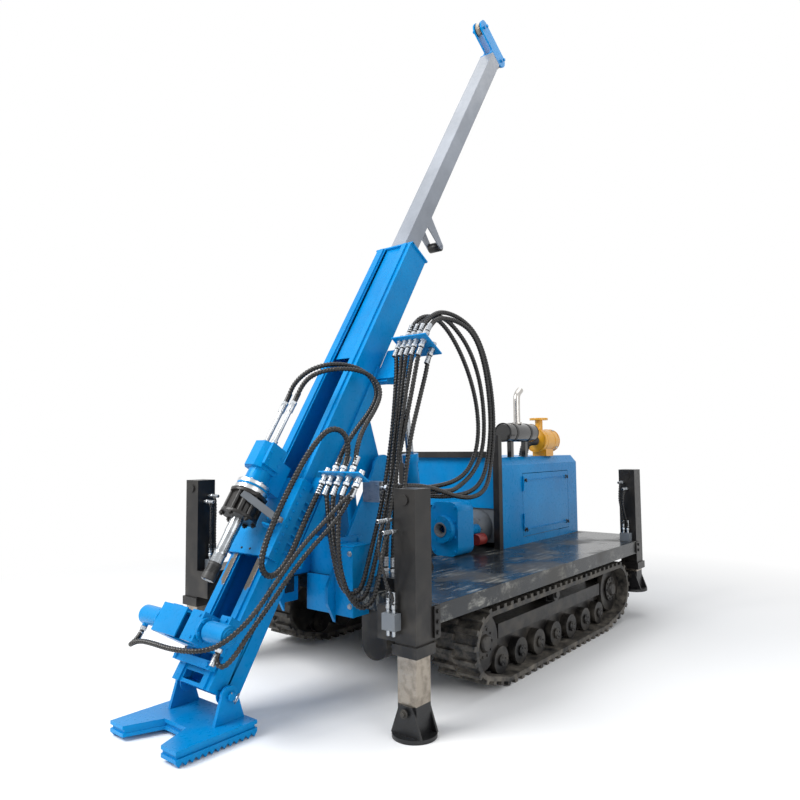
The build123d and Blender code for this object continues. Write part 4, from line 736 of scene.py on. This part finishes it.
rods = []
low, high, wide = head["chuckLow"], head["chuckHigh"], head["rodRadius"]
for x, y, _ in ringOf(head["rods"], head["rodCircle"], 0.35):
    rodFrame = onMast @ Matrix.Translation((head["t"] + x, y, 0))
    rod = [(0, low - 0.020), (wide * 0.8, low - 0.020), (wide * 0.8, low), (wide, low), (wide, high),
           (wide * 0.8, high + 0.003)]
    rods.append(placed(lathe(rod, 14), rodFrame))
    for s in (low - 0.012, high - 0.012):
        nut = [(0, s), (0.019, s), (0.019, s + head["nutHeight"]), (0, s + head["nutHeight"])]
        rods.append(placed(lathe(nut, 6), rodFrame))
addPiece("chuck_rods", rods, black, "head", 0.0006)

ringBolts = [shape for x, y, _ in ringOf(8, head["ringRadius"] - 0.018, 0.6)
             for shape in boltsAt([mastPoint(head["t"] + x, y, head["ringHigh"] + 0.001)], mastUp, 0.010)]
addPiece("gearbox_flange_bolts", ringBolts, zinc, "head", 0.0005)

linkEnd = mastPoint(0.085, 0.230, 1.060)
boss = [(0, -0.006), (0.020, -0.006), (0.020, 0.020), (0.012, 0.024), (0, 0.024)]
linkBar = [barBetween(mastPoint(0.300, 0.060, 1.130), linkEnd, head["linkWide"], head["linkThick"], mastUp),
           turned(boss, 20, linkEnd, mastUp)]
addPiece("chuck_link", linkBar, castGrey, "head", 0.0015)
clevis = [barBetween(mastPoint(0.050, 0.150, 1.060), mastPoint(0.120, 0.190, 1.060), 0.060, 0.014, mastUp),
          barBetween(mastPoint(0.052, 0.110, 1.090), mastPoint(0.052, 0.170, 1.090), 0.050, 0.030, mastOut),
          barBetween(mastPoint(0.060, 0.120, 1.020), mastPoint(0.120, 0.165, 1.020), 0.050, 0.012, mastUp)]
addPiece("carriage_clevises", clevis, blue, "head", 0.002)

wide, low, pitch = head["boxRadius"], head["threadLow"], head["pitch"]
collar = [(0.030, 0.597), (0.0385, 0.597), (wide, 0.601), (wide, low)]
for thread in range(head["threads"]):
    s = low + thread * pitch
    collar += [(wide - 0.003, s + 0.001), (wide - 0.003, s + 0.004), (wide, s + 0.005), (wide, s + pitch)]
collar += [(wide, 0.700), (0.0385, 0.706)]
addPiece("spindle_thread_box", [placed(lathe(collar, 40), axisFrame)], plastic, "spindle_shaft")
bands = [placed(lathe([(0.038, s0), (0.0402, s0 + 0.001), (0.0402, s1 - 0.001), (0.038, s1)], 40), axisFrame)
         for s0, s1 in ((0.760, 0.775), (0.900, 0.985))]
addPiece("spindle_bands", bands, chrome, "spindle_shaft")

gearBolts = []
for s in (1.385, 1.440):
    gearBolts += boltsAt([mastPoint(0.175, 0.104, s), mastPoint(0.265, 0.104, s)], (0, 1, 0), 0.009)
gearBolts += boltsAt([mastPoint(0.180, -0.060, 1.500), mastPoint(0.180, 0.060, 1.500),
                      mastPoint(0.285, -0.040, 1.500)], mastUp, 0.010)
addPiece("gearbox_bolts", gearBolts, blue, "head", 0.0005)

# Adjusting screws on the carriage's sides, and bolts on its plate
sideBolts = []
for s in np.linspace(0.90, 1.33, 9):
    for side in (1, -1):
        spot = mastPoint(0.0, side * 0.217, s)
        sideBolts += boltsAt([spot], (0, side, 0), 0.012)
        sideBolts.append(turned([(0, 0.008), (0.005, 0.008), (0.005, 0.012), (0, 0.012)], 10, spot, (0, side, 0)))
addPiece("carriage_adjusters", sideBolts, blue, "head", 0.0005)
plateBolts = boltsAt([mastPoint(0.0365, y, 0.880) for y in (-0.060, 0.020)], mastOut, 0.007)
addPiece("carriage_plate_bolts", plateBolts, black, "head", 0.0004)
print("head dressed")


# Wheels in the tracks

wheels = {"firstX": 0.284, "lastX": -1.359, "count": 7, "z": 0.147, "idlerX": 0.495, "sprocketX": -1.645,
          "wheelZ": 0.305, "rim": 0.078, "bolt": 0.006, "driveBolt": 0.009}
hubProfile = [(0.040, 0.0), (0.034, 0.008), (0.018, 0.008), (0.014, 0.012), (0.0, 0.012)]
driveProfile = [(0.108, 0.0), (0.105, 0.006), (0.060, 0.008), (0.055, 0.022), (0.045, 0.030), (0.0, 0.030)]
for tag, side in (("left", 1), ("right", -1)):
    low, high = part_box("rollers_" + tag)
    face = high[1] if side > 0 else low[1]
    way = (0, side, 0)
    shapes = []
    for x in np.linspace(wheels["firstX"], wheels["lastX"], wheels["count"]).tolist():
        shapes.append(turned(hubProfile, 28, (x, face - side * 0.004, wheels["z"]), way))
        rim = facing((x, face - side * 0.020, wheels["z"]), way)
        shapes.append(placed(torus(wheels["rim"], 0.004, 36, 8), rim))
        shapes += boltRing(ringOf(4, 0.027, 0.5), (x, face + side * 0.004, wheels["z"]), way, wheels["bolt"])
    for x in (wheels["sprocketX"], wheels["idlerX"]):
        shapes.append(turned(driveProfile, 40, (x, face - side * 0.020, wheels["wheelZ"]), way))
        shapes += boltRing(ringOf(10, 0.088), (x, face - side * 0.013, wheels["wheelZ"]), way, wheels["driveBolt"])
    addPiece("wheel_caps_" + tag, shapes, black, "chassis", 0.0005)
print("wheels dressed")


# Clamp and foot

clamp = {"flangeCircle": 0.060, "flangeY": 0.2136, "axisS": 0.330, "axisT": 0.205, "bolt": 0.010,
         "frontT": 0.262, "frontY": 0.165, "frontS": (0.270, 0.390), "endY": 0.4105,
         "barS": 0.180, "barY": 0.150, "barT": 0.062, "frameT": 0.150, "frameY": 0.255, "frameS": (0.360, 0.415)}
sleeve = [(0.050, -0.182), (0.057, -0.178), (0.057, -0.006), (0.046, -0.004)]
cap = [(0.044, -0.024), (0.0465, -0.022), (0.0465, -0.002), (0.043, 0.002), (0.034, 0.002), (0.030, 0.006), (0, 0.006)]
bolts, caps = [], []
for side in (1, -1):
    way = (0, side, 0)
    flange = mastPoint(clamp["axisT"], side * clamp["flangeY"], clamp["axisS"])
    bolts += boltRing(ringOf(6, clamp["flangeCircle"]), flange, way, clamp["bolt"])
    for s in clamp["frameS"]:
        bolts += boltsAt([mastPoint(clamp["frameT"], side * clamp["frameY"], s)], mastOut, 0.012)
    bolts += boltsAt([mastPoint(clamp["barT"], side * clamp["barY"], clamp["barS"])], mastOut, 0.016)
    end = mastPoint(clamp["axisT"], side * clamp["endY"], clamp["axisS"])
    caps += [turned(sleeve, 40, end, way), turned(cap, 40, end, way)]
addPiece("clamp_bolts", bolts, blue, "mast", 0.0006)
cover = [mastBrick((0.262, -0.195, 0.246), (0.272, 0.040, 0.414))]
cover += [mastBrick((-0.010, -0.0885, s0), (-0.0005, 0.0885, s1)) for s0, s1 in ((0.061, 0.082), (0.132, 0.158))]
addPiece("clamp_cover", cover, blue, "mast", 0.002)
addPiece("clamp_cylinder_caps", caps, blue, "mast")
bolts = boltsAt([mastPoint(clamp["frontT"], y, s) for y in (-clamp["frontY"], clamp["frontY"])
                 for s in clamp["frontS"]], mastOut, 0.009)
addPiece("clamp_front_bolts", bolts, blue, "mast", 0.0006)

shoePin = {"x": 1.974, "z": 0.224, "endY": 0.245, "ring": 0.028, "wire": 0.0032}
pinHead = [(0, 0), (0.024, 0.0), (0.024, 0.006), (0.020, 0.010), (0, 0.010)]
shapes = [turned(pinHead, 24, (shoePin["x"], side * shoePin["endY"], shoePin["z"]), (0, side, 0))
          for side in (1, -1)]
addPiece("foot_pin_heads", shapes, blue, "shoe", 0.0008)
hang = Matrix.Translation((shoePin["x"] - 0.022, shoePin["endY"] + 0.016, shoePin["z"] - 0.012)) @ \
    Matrix.Rotation(math.radians(35), 4, "Z") @ Matrix.Rotation(math.radians(70), 4, "X")
shapes = [placed(torus(shoePin["ring"], shoePin["wire"]), hang),
          turned([(0, -0.030), (0.004, -0.030), (0.004, 0.030), (0, 0.030)], 10,
                 (shoePin["x"], shoePin["endY"] + 0.006, shoePin["z"]), (0.3, 0, 1))]
addPiece("foot_pin_ring", shapes, chrome, "shoe")
print("clamp and foot dressed")


# Crown and tower

crown = {"s": 6.420, "sheaves": (0.172, -0.205), "bolt": 0.016}
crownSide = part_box("crown_bracket")[1][1] - 0.001
shapes = [shape for t in crown["sheaves"] for side in (1, -1)
          for shape in boltsAt([mastPoint(t, side * crownSide, crown["s"])], (0, side, 0), crown["bolt"])]
addPiece("crown_pins", shapes, blue, "boom", 0.0006)

tower = {"y": 0.260, "plateX": (0.930, 1.160), "plateZ": (0.740, 1.010), "thick": 0.012, "bolt": 0.014, "inset": 0.03}
shapes, bolts = [], []
(x0, x1), (z0, z1), inset = tower["plateX"], tower["plateZ"], tower["inset"]
for side in (1, -1):
    y = side * tower["y"]
    outer = y + side * tower["thick"]
    shapes.append(brick((x0, min(y, outer), z0), (x1, max(y, outer), z1)))
    bolts += boltsAt([(x, outer, z) for x in (x0 + inset, x1 - inset) for z in (z0 + inset, z1 - inset)],
                     (0, side, 0), tower["bolt"])
addPiece("tower_plates", shapes, blue, "chassis", 0.003)
addPiece("tower_bolts", bolts, blue, "chassis", 0.0006)


# Engine end

hood = {"leftY": 0.347, "rightY": -0.780, "insetX": 0.045, "insetZ": 0.060, "rod": 0.0035, "rodProud": 0.010}
latch = [(0, 0), (0.020, 0.0), (0.020, 0.003), (0.016, 0.006), (0, 0.006)]
grip = [(0, 0.005), (0.007, 0.006), (0.010, 0.021), (0.008, 0.024), (0, 0.024)]
wing = brick((-0.006, -0.018, 0.018), (0.006, 0.018, 0.026))
for tag, body, face, side in (("left", "door_l", hood["leftY"], 1), ("right", "door_r", hood["rightY"], -1)):
    low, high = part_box("hood_door_" + tag)
    xs = (high[0] - hood["insetX"], low[0] + hood["insetX"])
    zs = (low[2] + hood["insetZ"], high[2] - hood["insetZ"])
    latches, pulls = [], []
    for x in xs:
        for z in zs:
            spot, way = (x, face, z), (0, side, 0)
            latches += [turned(latch, 24, spot, way), turned(grip, 16, spot, way),
                        placed(wing, facing(spot, way, 0.4))]
    for z in zs:
        y = face + side * hood["rodProud"]
        pulls.append(plainTube([(xs[0], y, z), ((xs[0] + xs[1]) / 2, y, z), (xs[1], y, z)], hood["rod"]))
    addPiece("door_latches_" + tag, latches, plastic, body, 0.0008)
    addPiece("door_rods_" + tag, pulls, blue, body)

pump = {"faceX": -0.215, "y": 0.150, "z": 0.925, "bossCircle": 0.090, "halfY": 0.105, "halfZ": 0.180,
        "bossX": -0.160, "bolt": 0.013, "bossBolt": 0.008}
shapes = boltsAt([(pump["faceX"], pump["y"] + y * pump["halfY"], pump["z"] + z * pump["halfZ"])
                  for y in (-1, 1) for z in (-1, -0.35, 0.35, 1)], (1, 0, 0), pump["bolt"])
pumpBoss = (pump["bossX"], pump["y"], pump["z"])
shapes += boltsAt(onFace(ringOf(6, pump["bossCircle"]), pumpBoss, (1, 0, 0)), (1, 0, 0), pump["bossBolt"])
addPiece("pump_gearbox_bolts", shapes, blue, "chassis", 0.0006)
bore = [(0.030, -0.045), (0.052, -0.045), (0.052, 0.0), (0.060, 0.004), (0.060, 0.008), (0.048, 0.008), (0.030, -0.030)]
addPiece("pump_bearing_ring", [turned(bore, 40, pumpBoss, (1, 0, 0))], castGrey, "chassis")

bell = {"y": 0.060, "z": 0.876, "circle": 0.140, "bolt": 0.008}
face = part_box("bell_housing")[1][0]
spots = onFace(ringOf(10, bell["circle"]), (face - 0.012, bell["y"], bell["z"]), (1, 0, 0))
hub = [(0.118, 0.0), (0.10, 0.006), (0.062, 0.010), (0.05, 0.018), (0, 0.018)]
shapes = boltsAt(spots, (1, 0, 0), bell["bolt"])
shapes.append(turned(hub, 48, (face - 0.001, bell["y"], bell["z"]), (1, 0, 0)))
addPiece("bell_housing_bolts", shapes, castGrey, "chassis", 0.0005)
starter = [(0, 0.0), (0.045, 0.0), (0.050, 0.006), (0.050, 0.110), (0.045, 0.118), (0, 0.118)]
addPiece("starter_motor", [turned(starter, 32, (-0.700, 0.215, 0.800), (1, 0, 0))], red, "chassis", 0.0015)

muffler = {"x": (-1.450, -0.930), "y": 0.300, "z": 1.725, "radius": 0.085, "strapX": (-1.320, -1.060)}
shapes = [turned(strap(muffler["radius"], 0.016, 0.003), 48, (x, muffler["y"], muffler["z"]), (1, 0, 0))
          for x in muffler["strapX"]]
shapes += [placed(torus(muffler["radius"] - 0.004, 0.006, 48), facing((x, muffler["y"], muffler["z"]), (1, 0, 0)))
           for x in muffler["x"]]
exhaust = {"x": -1.190, "y": 0.300, "radius": 0.031, "bore": 0.0275, "flange": 0.046, "flangeZ": 1.811}
pipeLine = splinePath("exhaust_line", (
    (-1.190, 0.300, 1.800), (-1.190, 0.300, 1.920), (-1.190, 0.300, 2.040), (-1.200, 0.300, 2.075),
    (-1.230, 0.300, 2.105), (-1.262, 0.300, 2.125)))[0]
flange = [(exhaust["radius"], -0.002), (exhaust["flange"], -0.002), (exhaust["flange"], 0.010),
          (exhaust["radius"], 0.010)]
pipe = [plainTube(pipeLine, exhaust["radius"], 28),
        turned(flange, 28, (exhaust["x"], exhaust["y"], exhaust["flangeZ"]), (0, 0, 1))]
addPiece("exhaust_stack", pipe, exhaustSteel, "chassis", replaces=("exhaust_pipe",))
# Painted shade: a black disc just inside the closed end of the exhaust pipe, standing in for the dark hollow of an open
# pipe
hollowShade = turned([(exhaust["bore"], 0.0), (0, 0.0)], 28, pipeLine[-1] + (-0.0008, 0, 0.0004), (-0.86, 0, 0.51))
addPiece("exhaust_hollow_shade", [hollowShade], plastic, "chassis")
addPiece("muffler_straps", shapes, black, "chassis")

cleaner = {"x": -1.800, "y": 0.245, "z": 1.652, "radius": 0.112, "half": 0.150, "bandX": (-1.720, -1.870),
           "clipX": -1.912, "clipAngles": (0.5, 2.2, 3.9, 5.6)}
ends = (cleaner["x"] - cleaner["half"], cleaner["x"] + cleaner["half"])
shapes = [turned(strap(cleaner["radius"], 0.012, 0.0025), 48, (x, cleaner["y"], cleaner["z"]), (1, 0, 0))
          for x in cleaner["bandX"]]
shapes += [placed(torus(cleaner["radius"] - 0.002, 0.005, 48), facing((x, cleaner["y"], cleaner["z"]), (1, 0, 0)))
           for x in ends]
lid = [(0.100, 0.0), (0.060, 0.002), (0.040, 0.010), (0, 0.010)]
shapes.append(turned(lid, 40, (ends[1], cleaner["y"], cleaner["z"]), (1, 0, 0)))
addPiece("cleaner_bands", shapes, yellow, "chassis")
clips = []
for angle in cleaner["clipAngles"]:
    out = Vector((0, math.sin(angle), math.cos(angle)))
    spot = Vector((cleaner["clipX"], cleaner["y"], cleaner["z"])) + cleaner["radius"] * out
    clips.append(placed(brick((-0.010, -0.020, 0), (0.010, 0.020, 0.006)), facing(spot, out, math.pi / 2)))
addPiece("cleaner_clips", clips, zinc, "chassis", 0.001)
duct = {"radius": 0.042, "rib": 0.003, "ribPoints": 5, "sides": 24}
ductLine = splinePath("duct_line", (
    (-1.640, 0.245, 1.652), (-1.580, 0.245, 1.652), (-1.500, 0.235, 1.640), (-1.470, 0.215, 1.580),
    (-1.465, 0.205, 1.500)))[0]
wave = np.cos(np.arange(len(ductLine)) * 2 * math.pi / duct["ribPoints"])
ductPoints = tubePoints(ductLine, (duct["radius"] + duct["rib"] * wave)[:, None, None], duct["sides"])
addPiece("intake_duct", [(ductPoints, gridFaces(len(ductLine), duct["sides"]))], plastic, "chassis")
print("engine end dressed")


# Console

console = {"x": 0.620, "y": -0.760, "levers": 6, "pitch": 0.040, "dials": 4, "dialPitch": 0.060}
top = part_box("control_console")[1][2]
knob = [(0, 0), (0.010, 0.002), (0.014, 0.012), (0.010, 0.024), (0, 0.027)]
dial = [(0.026, 0.0), (0.025, 0.010), (0.020, 0.010), (0.018, 0.006), (0, 0.006)]
levers, knobs = [], []
for k in range(console["levers"]):
    x, y = console["x"] - 0.100 + console["pitch"] * k, console["y"] + 0.140
    levers.append(plainTube([(x, y, top - 0.005), (x, y + 0.008, top + 0.060), (x, y + 0.020, top + 0.120)], 0.005))
    knobs.append(turned(knob, 16, (x, y + 0.020, top + 0.112), (0, 0.15, 1)))
addPiece("console_levers", levers, chrome, "chassis")
addPiece("console_knobs", knobs, plastic, "chassis")
gauges = [turned(dial, 28, (console["x"] - 0.090 + console["dialPitch"] * k, console["y"] - 0.090, top), (0, 0, 1))
          for k in range(console["dials"])]
addPiece("console_gauges", gauges, zinc, "chassis")
print("console dressed")


# More hoses, which hang beside the others

extraRoutes = {
    "hose_drop_1": ("loop", ("upper", 1, -1), ("manifold", 0), ("saddle", "chassis"), (
        (0.700, 0.450, 2.205), (0.765, 0.475, 1.965), (0.820, 0.485, 1.695), (0.872, 0.490, 1.420),
        (0.915, 0.505, 1.155), (0.960, 0.525, 0.990))),
    "hose_drop_2": ("loop", ("upper", 3, -1), ("manifold", 1), ("saddle", "chassis"), (
        (0.705, 0.545, 2.205), (0.775, 0.545, 1.965), (0.835, 0.540, 1.695), (0.885, 0.545, 1.420),
        (0.925, 0.565, 1.155), (0.965, 0.585, 0.990))),
    "hose_drop_3": ("loop", ("upper", 5, -1), ("manifold", 2), ("saddle", "chassis"), (
        (0.610, 0.605, 2.140), (0.700, 0.605, 1.920), (0.790, 0.600, 1.680), (0.860, 0.605, 1.420),
        (0.915, 0.620, 1.155), (0.960, 0.640, 0.990))),
    "hose_deck_3": ("deck", ("upper", 2, 1), ("valveSide", 0), ("saddle", "chassis"), (
        (0.530, 0.500, 2.490), (0.465, 0.510, 2.540), (0.360, 0.510, 2.575), (0.235, 0.515, 2.560),
        (0.115, 0.520, 2.500), (0.005, 0.535, 2.405), (-0.090, 0.550, 2.265), (-0.165, 0.555, 2.090),
        (-0.215, 0.550, 1.885), (-0.230, 0.540, 1.690), (-0.205, 0.530, 1.550), (-0.145, 0.520, 1.445),
        (-0.055, 0.510, 1.365), (0.065, 0.510, 1.310), (0.250, 0.555, 1.275), (0.450, 0.560, 1.285),
        (0.620, 0.555, 1.290), (0.740, 0.545, 1.280))),
    "hose_deck_4": ("deck", ("upper", 3, 1), ("valveSide", 1), ("saddle", "chassis"), (
        (0.520, 0.540, 2.500), (0.450, 0.540, 2.555), (0.340, 0.530, 2.600), (0.200, 0.525, 2.610),
        (0.050, 0.530, 2.585), (-0.060, 0.555, 2.520), (-0.145, 0.575, 2.410), (-0.215, 0.590, 2.240),
        (-0.280, 0.590, 2.010), (-0.315, 0.580, 1.780), (-0.310, 0.565, 1.580), (-0.275, 0.565, 1.420),
        (-0.200, 0.580, 1.300), (-0.090, 0.595, 1.240), (0.070, 0.600, 1.215), (0.270, 0.600, 1.240),
        (0.450, 0.600, 1.290), (0.640, 0.600, 1.330), (0.800, 0.585, 1.345))),
    "hose_clamp_2": ("clamp", ("lower", 5, -1), ("clamp", 1), ("mast", "mast"), (
        (1.420, 0.575, 1.225), (1.530, 0.560, 1.125), (1.660, 0.540, 1.020), (1.780, 0.525, 0.910),
        (1.890, 0.510, 0.790), (1.985, 0.495, 0.690), (2.070, 0.485, 0.600), (2.130, 0.470, 0.520),
        (2.180, 0.430, 0.462))),
}
for name, (kind, start, end, bodies, route) in extraRoutes.items():
    addHose(name, kind, fittingEnd(*start), fittingEnd(*end), bodies, route)


def stub(place, way, radius, length):
    """Short round port whose end face is at place."""
    return turned([(radius, -length), (radius, -0.003), (radius - 0.003, 0), (0, 0)], 16, place, way)


# Leg hoses: two beside each other, from a block low on the leg to ports high on it
legHose = {"gap": 0.040, "foot": 0.028, "top": 0.024, "drop": 0.060, "port": 0.011, "portLength": 0.026,
           "drain": 0.012, "drainLength": 0.040, "drainDrop": 0.150}
blocks, legPorts, drains = [brick((1.236, -0.949, 0.690), (1.330, -0.892, 0.780))], [], []


def addLegHose(name, foot, top, topWay, route):
    """Leg hose with a port at either end."""
    ends = ((Vector(foot), upWay), (Vector(top), topWay))
    addHose(name, "leg", *ends, ("chassis", "chassis"), route)
    legPorts.extend(stub(place, way, legHose["port"], legHose["portLength"]) for place, way in ends)


for k in (0, 1):
    shift = legHose["gap"] * k
    addLegHose("hose_leg_front_right_%d" % (k + 1), (1.262 + shift, -0.920, 0.800),
               (1.300 + shift, -0.924, 1.250 - shift), leftWay,
               ((1.275 + shift, -0.900, 0.930), (1.290 + shift, -0.880, 1.040), (1.300 + shift, -0.860, 1.140 - shift)))
for tag, x, side, firstY, low, high in (("front_left", legs["frontX"], 1, 0.925, 0.700, 1.190),
                                        ("rear_left", legs["rearX"], 1, 0.990, 0.800, 1.250),
                                        ("rear_right", legs["rearX"], -1, 0.990, 0.800, 1.250)):
    wall = x + legs["half"]
    y0, y1 = sorted((side * (firstY - 0.028), side * (firstY + 0.068)))
    blocks.append(brick((wall - 0.001, y0, low - 0.115), (wall + 0.056, y1, low - 0.022)))
    for k in (0, 1):
        shift = legHose["gap"] * k
        y = side * (firstY + shift)
        addLegHose("hose_leg_%s_%d" % (tag, k + 1), (wall + legHose["foot"], y, low),
                   (wall + legHose["top"], y, high - legHose["drop"] * k), frontWay,
                   ((wall + 0.050 + shift, y, low + 0.150), (wall + 0.085 + shift, y, (low + high) / 2),
                    (wall + 0.115 + shift * 0.5, y, high - 0.150 - shift)))
        drains.append(stub((wall + legHose["foot"], y, low - legHose["drainDrop"]), (0, 0, -1), legHose["drain"],
                           legHose["drainLength"]))
print("more hoses made")

addPiece("deck_manifold", [brick(manifold["low"], manifold["high"])], black, "chassis", 0.003)
stubs = [stub(place, way, manifold["port"], manifold["portLength"]) for place, way in ports["manifold"]]
stubs += [stub(place, way, manifold["port"], manifold["sideLength"]) for place, way in ports["valveSide"]]
addPiece("manifold_ports", stubs, zinc, "chassis", 0.0008)
addPiece("leg_valve_blocks", blocks, castGrey, "chassis", 0.002)
addPiece("leg_ports", legPorts + drains, zinc, "chassis", 0.0006)


# Blue boxes beside the mast's notch, its back wall, the web in the mast and the strap over its top

frontBox = {"x": (1.020, 1.176), "y": (0.262, 0.420), "z": (0.520, 0.965), "lip": 0.010, "lipFront": 0.004,
            "boltZ": (0.590, 0.922), "boltY": 0.395, "bolt": 0.016}
frontWall = ((0.951, -0.232, 0.450), (0.963, 0.232, 0.706))
boxes, boxBolts = [], []
(x0, x1), (z0, z1), lip = frontBox["x"], frontBox["z"], frontBox["lip"]
for side in (1, -1):
    y0, y1 = sorted(side * y for y in frontBox["y"])
    boxes.append(brick((x0, y0, z0), (x1, y1, z1)))
    boxes.append(brick((x0, y0 - lip * (side < 0), z1),
                       (x1 + frontBox["lipFront"], y1 + lip * (side > 0), z1 + lip)))
    boxBolts += boltsAt([(x1, side * frontBox["boltY"], z) for z in frontBox["boltZ"]], (1, 0, 0), frontBox["bolt"])
boxes.append(brick(*frontWall))
addPiece("front_boxes", boxes, blue, "chassis", 0.003)
addPiece("front_box_bolts", boxBolts, zinc, "chassis", 0.0006)

# Corners as (t, y, s): the web that closes the mast's slot, and the strap
web = (((-0.028, -0.0875, 2.420), (-0.022, 0.0875, 3.543)), ((-0.028, -0.191, 3.545), (0.0, 0.191, 3.560)))
addPiece("mast_web", [mastBrick(*corners) for corners in web], blue, "mast", 0.001)
ribs = [mastBrick((-0.150, 0.179, s - 0.005), (-0.012, 0.215, s + 0.005))
        for s in np.linspace(0.93, 1.27, head["ribs"])]
ribs.append(mastBrick((-0.154, 0.1795, 0.90), (-0.146, 0.216, 1.30)))
addPiece("mast_side_ribs", ribs, blue, "head", 0.001)
print("front boxes and web made")


# CAD nodes keep their shape and get rounded edges and real surfaces

footEarTop = 0.182
frontRam = paintedFoot("Front leg steel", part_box("leg_front_left")[0][2] + footEarTop)
rearRam = paintedFoot("Rear leg steel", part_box("leg_rear_left")[0][2] + footEarTop)
nodeLooks = (
    (trackRubber, 0.0, "track_left track_right"),
    (frontRam, 0.003, "leg_front_left leg_front_right"),
    (rearRam, 0.003, "leg_rear_left leg_rear_right"),
    (black, 0.001, "guide_roller"),
    (black, 0.0015, "rollers_left rollers_right head_chuck"),
    (black, 0.002, "undercarriage_frame luff_lugs front_posts control_console"),
    (black, 0.003, "leg_sleeves front_tank"),
    (deckPaint, 0.002, "deck"),
    (glossBlack, 0.002, "muffler"),
    (blue, 0.0015, "foot_shoe hose_bracket_upper hose_bracket_lower"),
    (blue, 0.002, "mast_tower mast_saddle crown_bracket head_carriage head_gearbox clamp_box clamp_cylinders "
                  "luff_barrel_left luff_barrel_right hood_door_left hood_door_right pump_gearbox"),
    (blue, 0.003, "engine_hood"),
    (mastBlue, 0.0025, "mast_frame"),
    (boomGrey, 0.002, "guide_arm"),
    (boomGrey, 0.004, "mast_boom"),
    (castGrey, 0.002, "engine bell_housing"),
    (yellow, 0.002, "air_cleaner"),
    (steel, 0.001, "sheave_front sheave_rear clamp_jaw_left clamp_jaw_right"),
    (exhaustSteel, 0.001, "exhaust_pipe"),
    (zinc, 0.001, "head_ports"),
    (zinc, 0.0015, "valve_block"),
    (chrome, 0.001, "spindle luff_rod_left luff_rod_right"),
)
for material, bevel, names in nodeLooks:
    for name in names.split():
        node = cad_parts[name]
        node.data.materials.clear()
        node.data.materials.append(material)
        roundEdges(node, bevel, edges["nodeAngle"])
print("CAD nodes dressed")


# Stage, lamps and camera

stage = {"half": 40.0, "bottom": -0.02, "top": -0.0005, "grey": 0.95, "roughness": 0.9, "glow": (0.93, 0.96, 1)}


def lookAt(obj, place, target):
    """Puts a lamp at place and turns it towards target."""
    obj.location = place
    obj.rotation_mode = "QUATERNION"
    obj.rotation_quaternion = (Vector(target) - Vector(place)).to_track_quat("-Z", "Y")


def whiteOrLit(tree, lit):
    """Plain white for rays from the camera, from mirrors and from glass; lit for all others."""
    rays = addNode(tree, "ShaderNodeLightPath").outputs
    seen = figured(tree, "MAXIMUM", rays["Is Camera Ray"], rays["Is Glossy Ray"])
    seen = figured(tree, "MAXIMUM", seen, rays["Is Transmission Ray"])
    white = addNode(tree, "ShaderNodeBackground", {"Color": (1, 1, 1, 1), "Strength": 1.0})
    return addNode(tree, "ShaderNodeMixShader", {0: seen, 1: lit, 2: white.outputs[0]}).outputs[0]


world = bpy.data.worlds.new("Studio")
bpy.context.scene.world = world
world.use_nodes = True
tree = world.node_tree
tree.nodes.clear()
glow = addNode(tree, "ShaderNodeBackground", {"Color": (*stage["glow"], 1), "Strength": light["worldStrength"]})
addNode(tree, "ShaderNodeOutputWorld", {"Surface": whiteOrLit(tree, glow.outputs[0])})

for lamp in ("key", "fill", "top"):
    data = bpy.data.lights.new(lamp, "AREA")
    data.energy = light[lamp + "Power"]
    data.size = light[lamp + "Size"]
    lookAt(addObject(lamp, data), light[lamp + "Place"], light["target"])

# The floor takes soft shadows near the rig and turns plain white far from it
floorPaint, tree, surface = startMaterial("White studio floor")
wire(tree, surface, {"Base Color": (*[stage["grey"]] * 3, 1), "Roughness": stage["roughness"]})
away = addNode(tree, "ShaderNodeVectorMath", {0: stretched(tree, (1, 1, 1))}, operation="LENGTH").outputs["Value"]
rays = addNode(tree, "ShaderNodeLightPath").outputs
seenFar = multiplied(tree, ranged(tree, away, light["shadowEnd"], light["whiteStart"]),
                     figured(tree, "MAXIMUM", rays["Is Camera Ray"], rays["Is Glossy Ray"]))
white = addNode(tree, "ShaderNodeEmission", {"Color": (1, 1, 1, 1), "Strength": 1.0})
blend = addNode(tree, "ShaderNodeMixShader", {0: seenFar, 1: surface.outputs[0], 2: white.outputs[0]})
wire(tree, next(n for n in tree.nodes if n.type == "OUTPUT_MATERIAL"), {"Surface": blend.outputs[0]})
half = stage["half"]
addMesh("floor", [brick((-half, -half, stage["bottom"]), (half, half, stage["top"]))], floorPaint)

cameraData = bpy.data.cameras.new("camera")
cameraData.lens = camera["focal"]
cameraData.sensor_width = camera["sensor"]
cameraData.clip_end = 200
cameraObject = addObject("camera", cameraData)
cameraObject.rotation_mode = "QUATERNION"
aim = Vector(camera["forward"]).to_track_quat("-Z", "Y").to_matrix().to_4x4()
cameraObject.rotation_quaternion = (aim @ Matrix.Rotation(math.radians(camera["roll"]), 4, "Z")).to_quaternion()
cameraObject.location = camera["place"]
bpy.context.scene.camera = cameraObject
bpy.context.scene.view_settings.view_transform = "Standard"
print("stage and camera set")
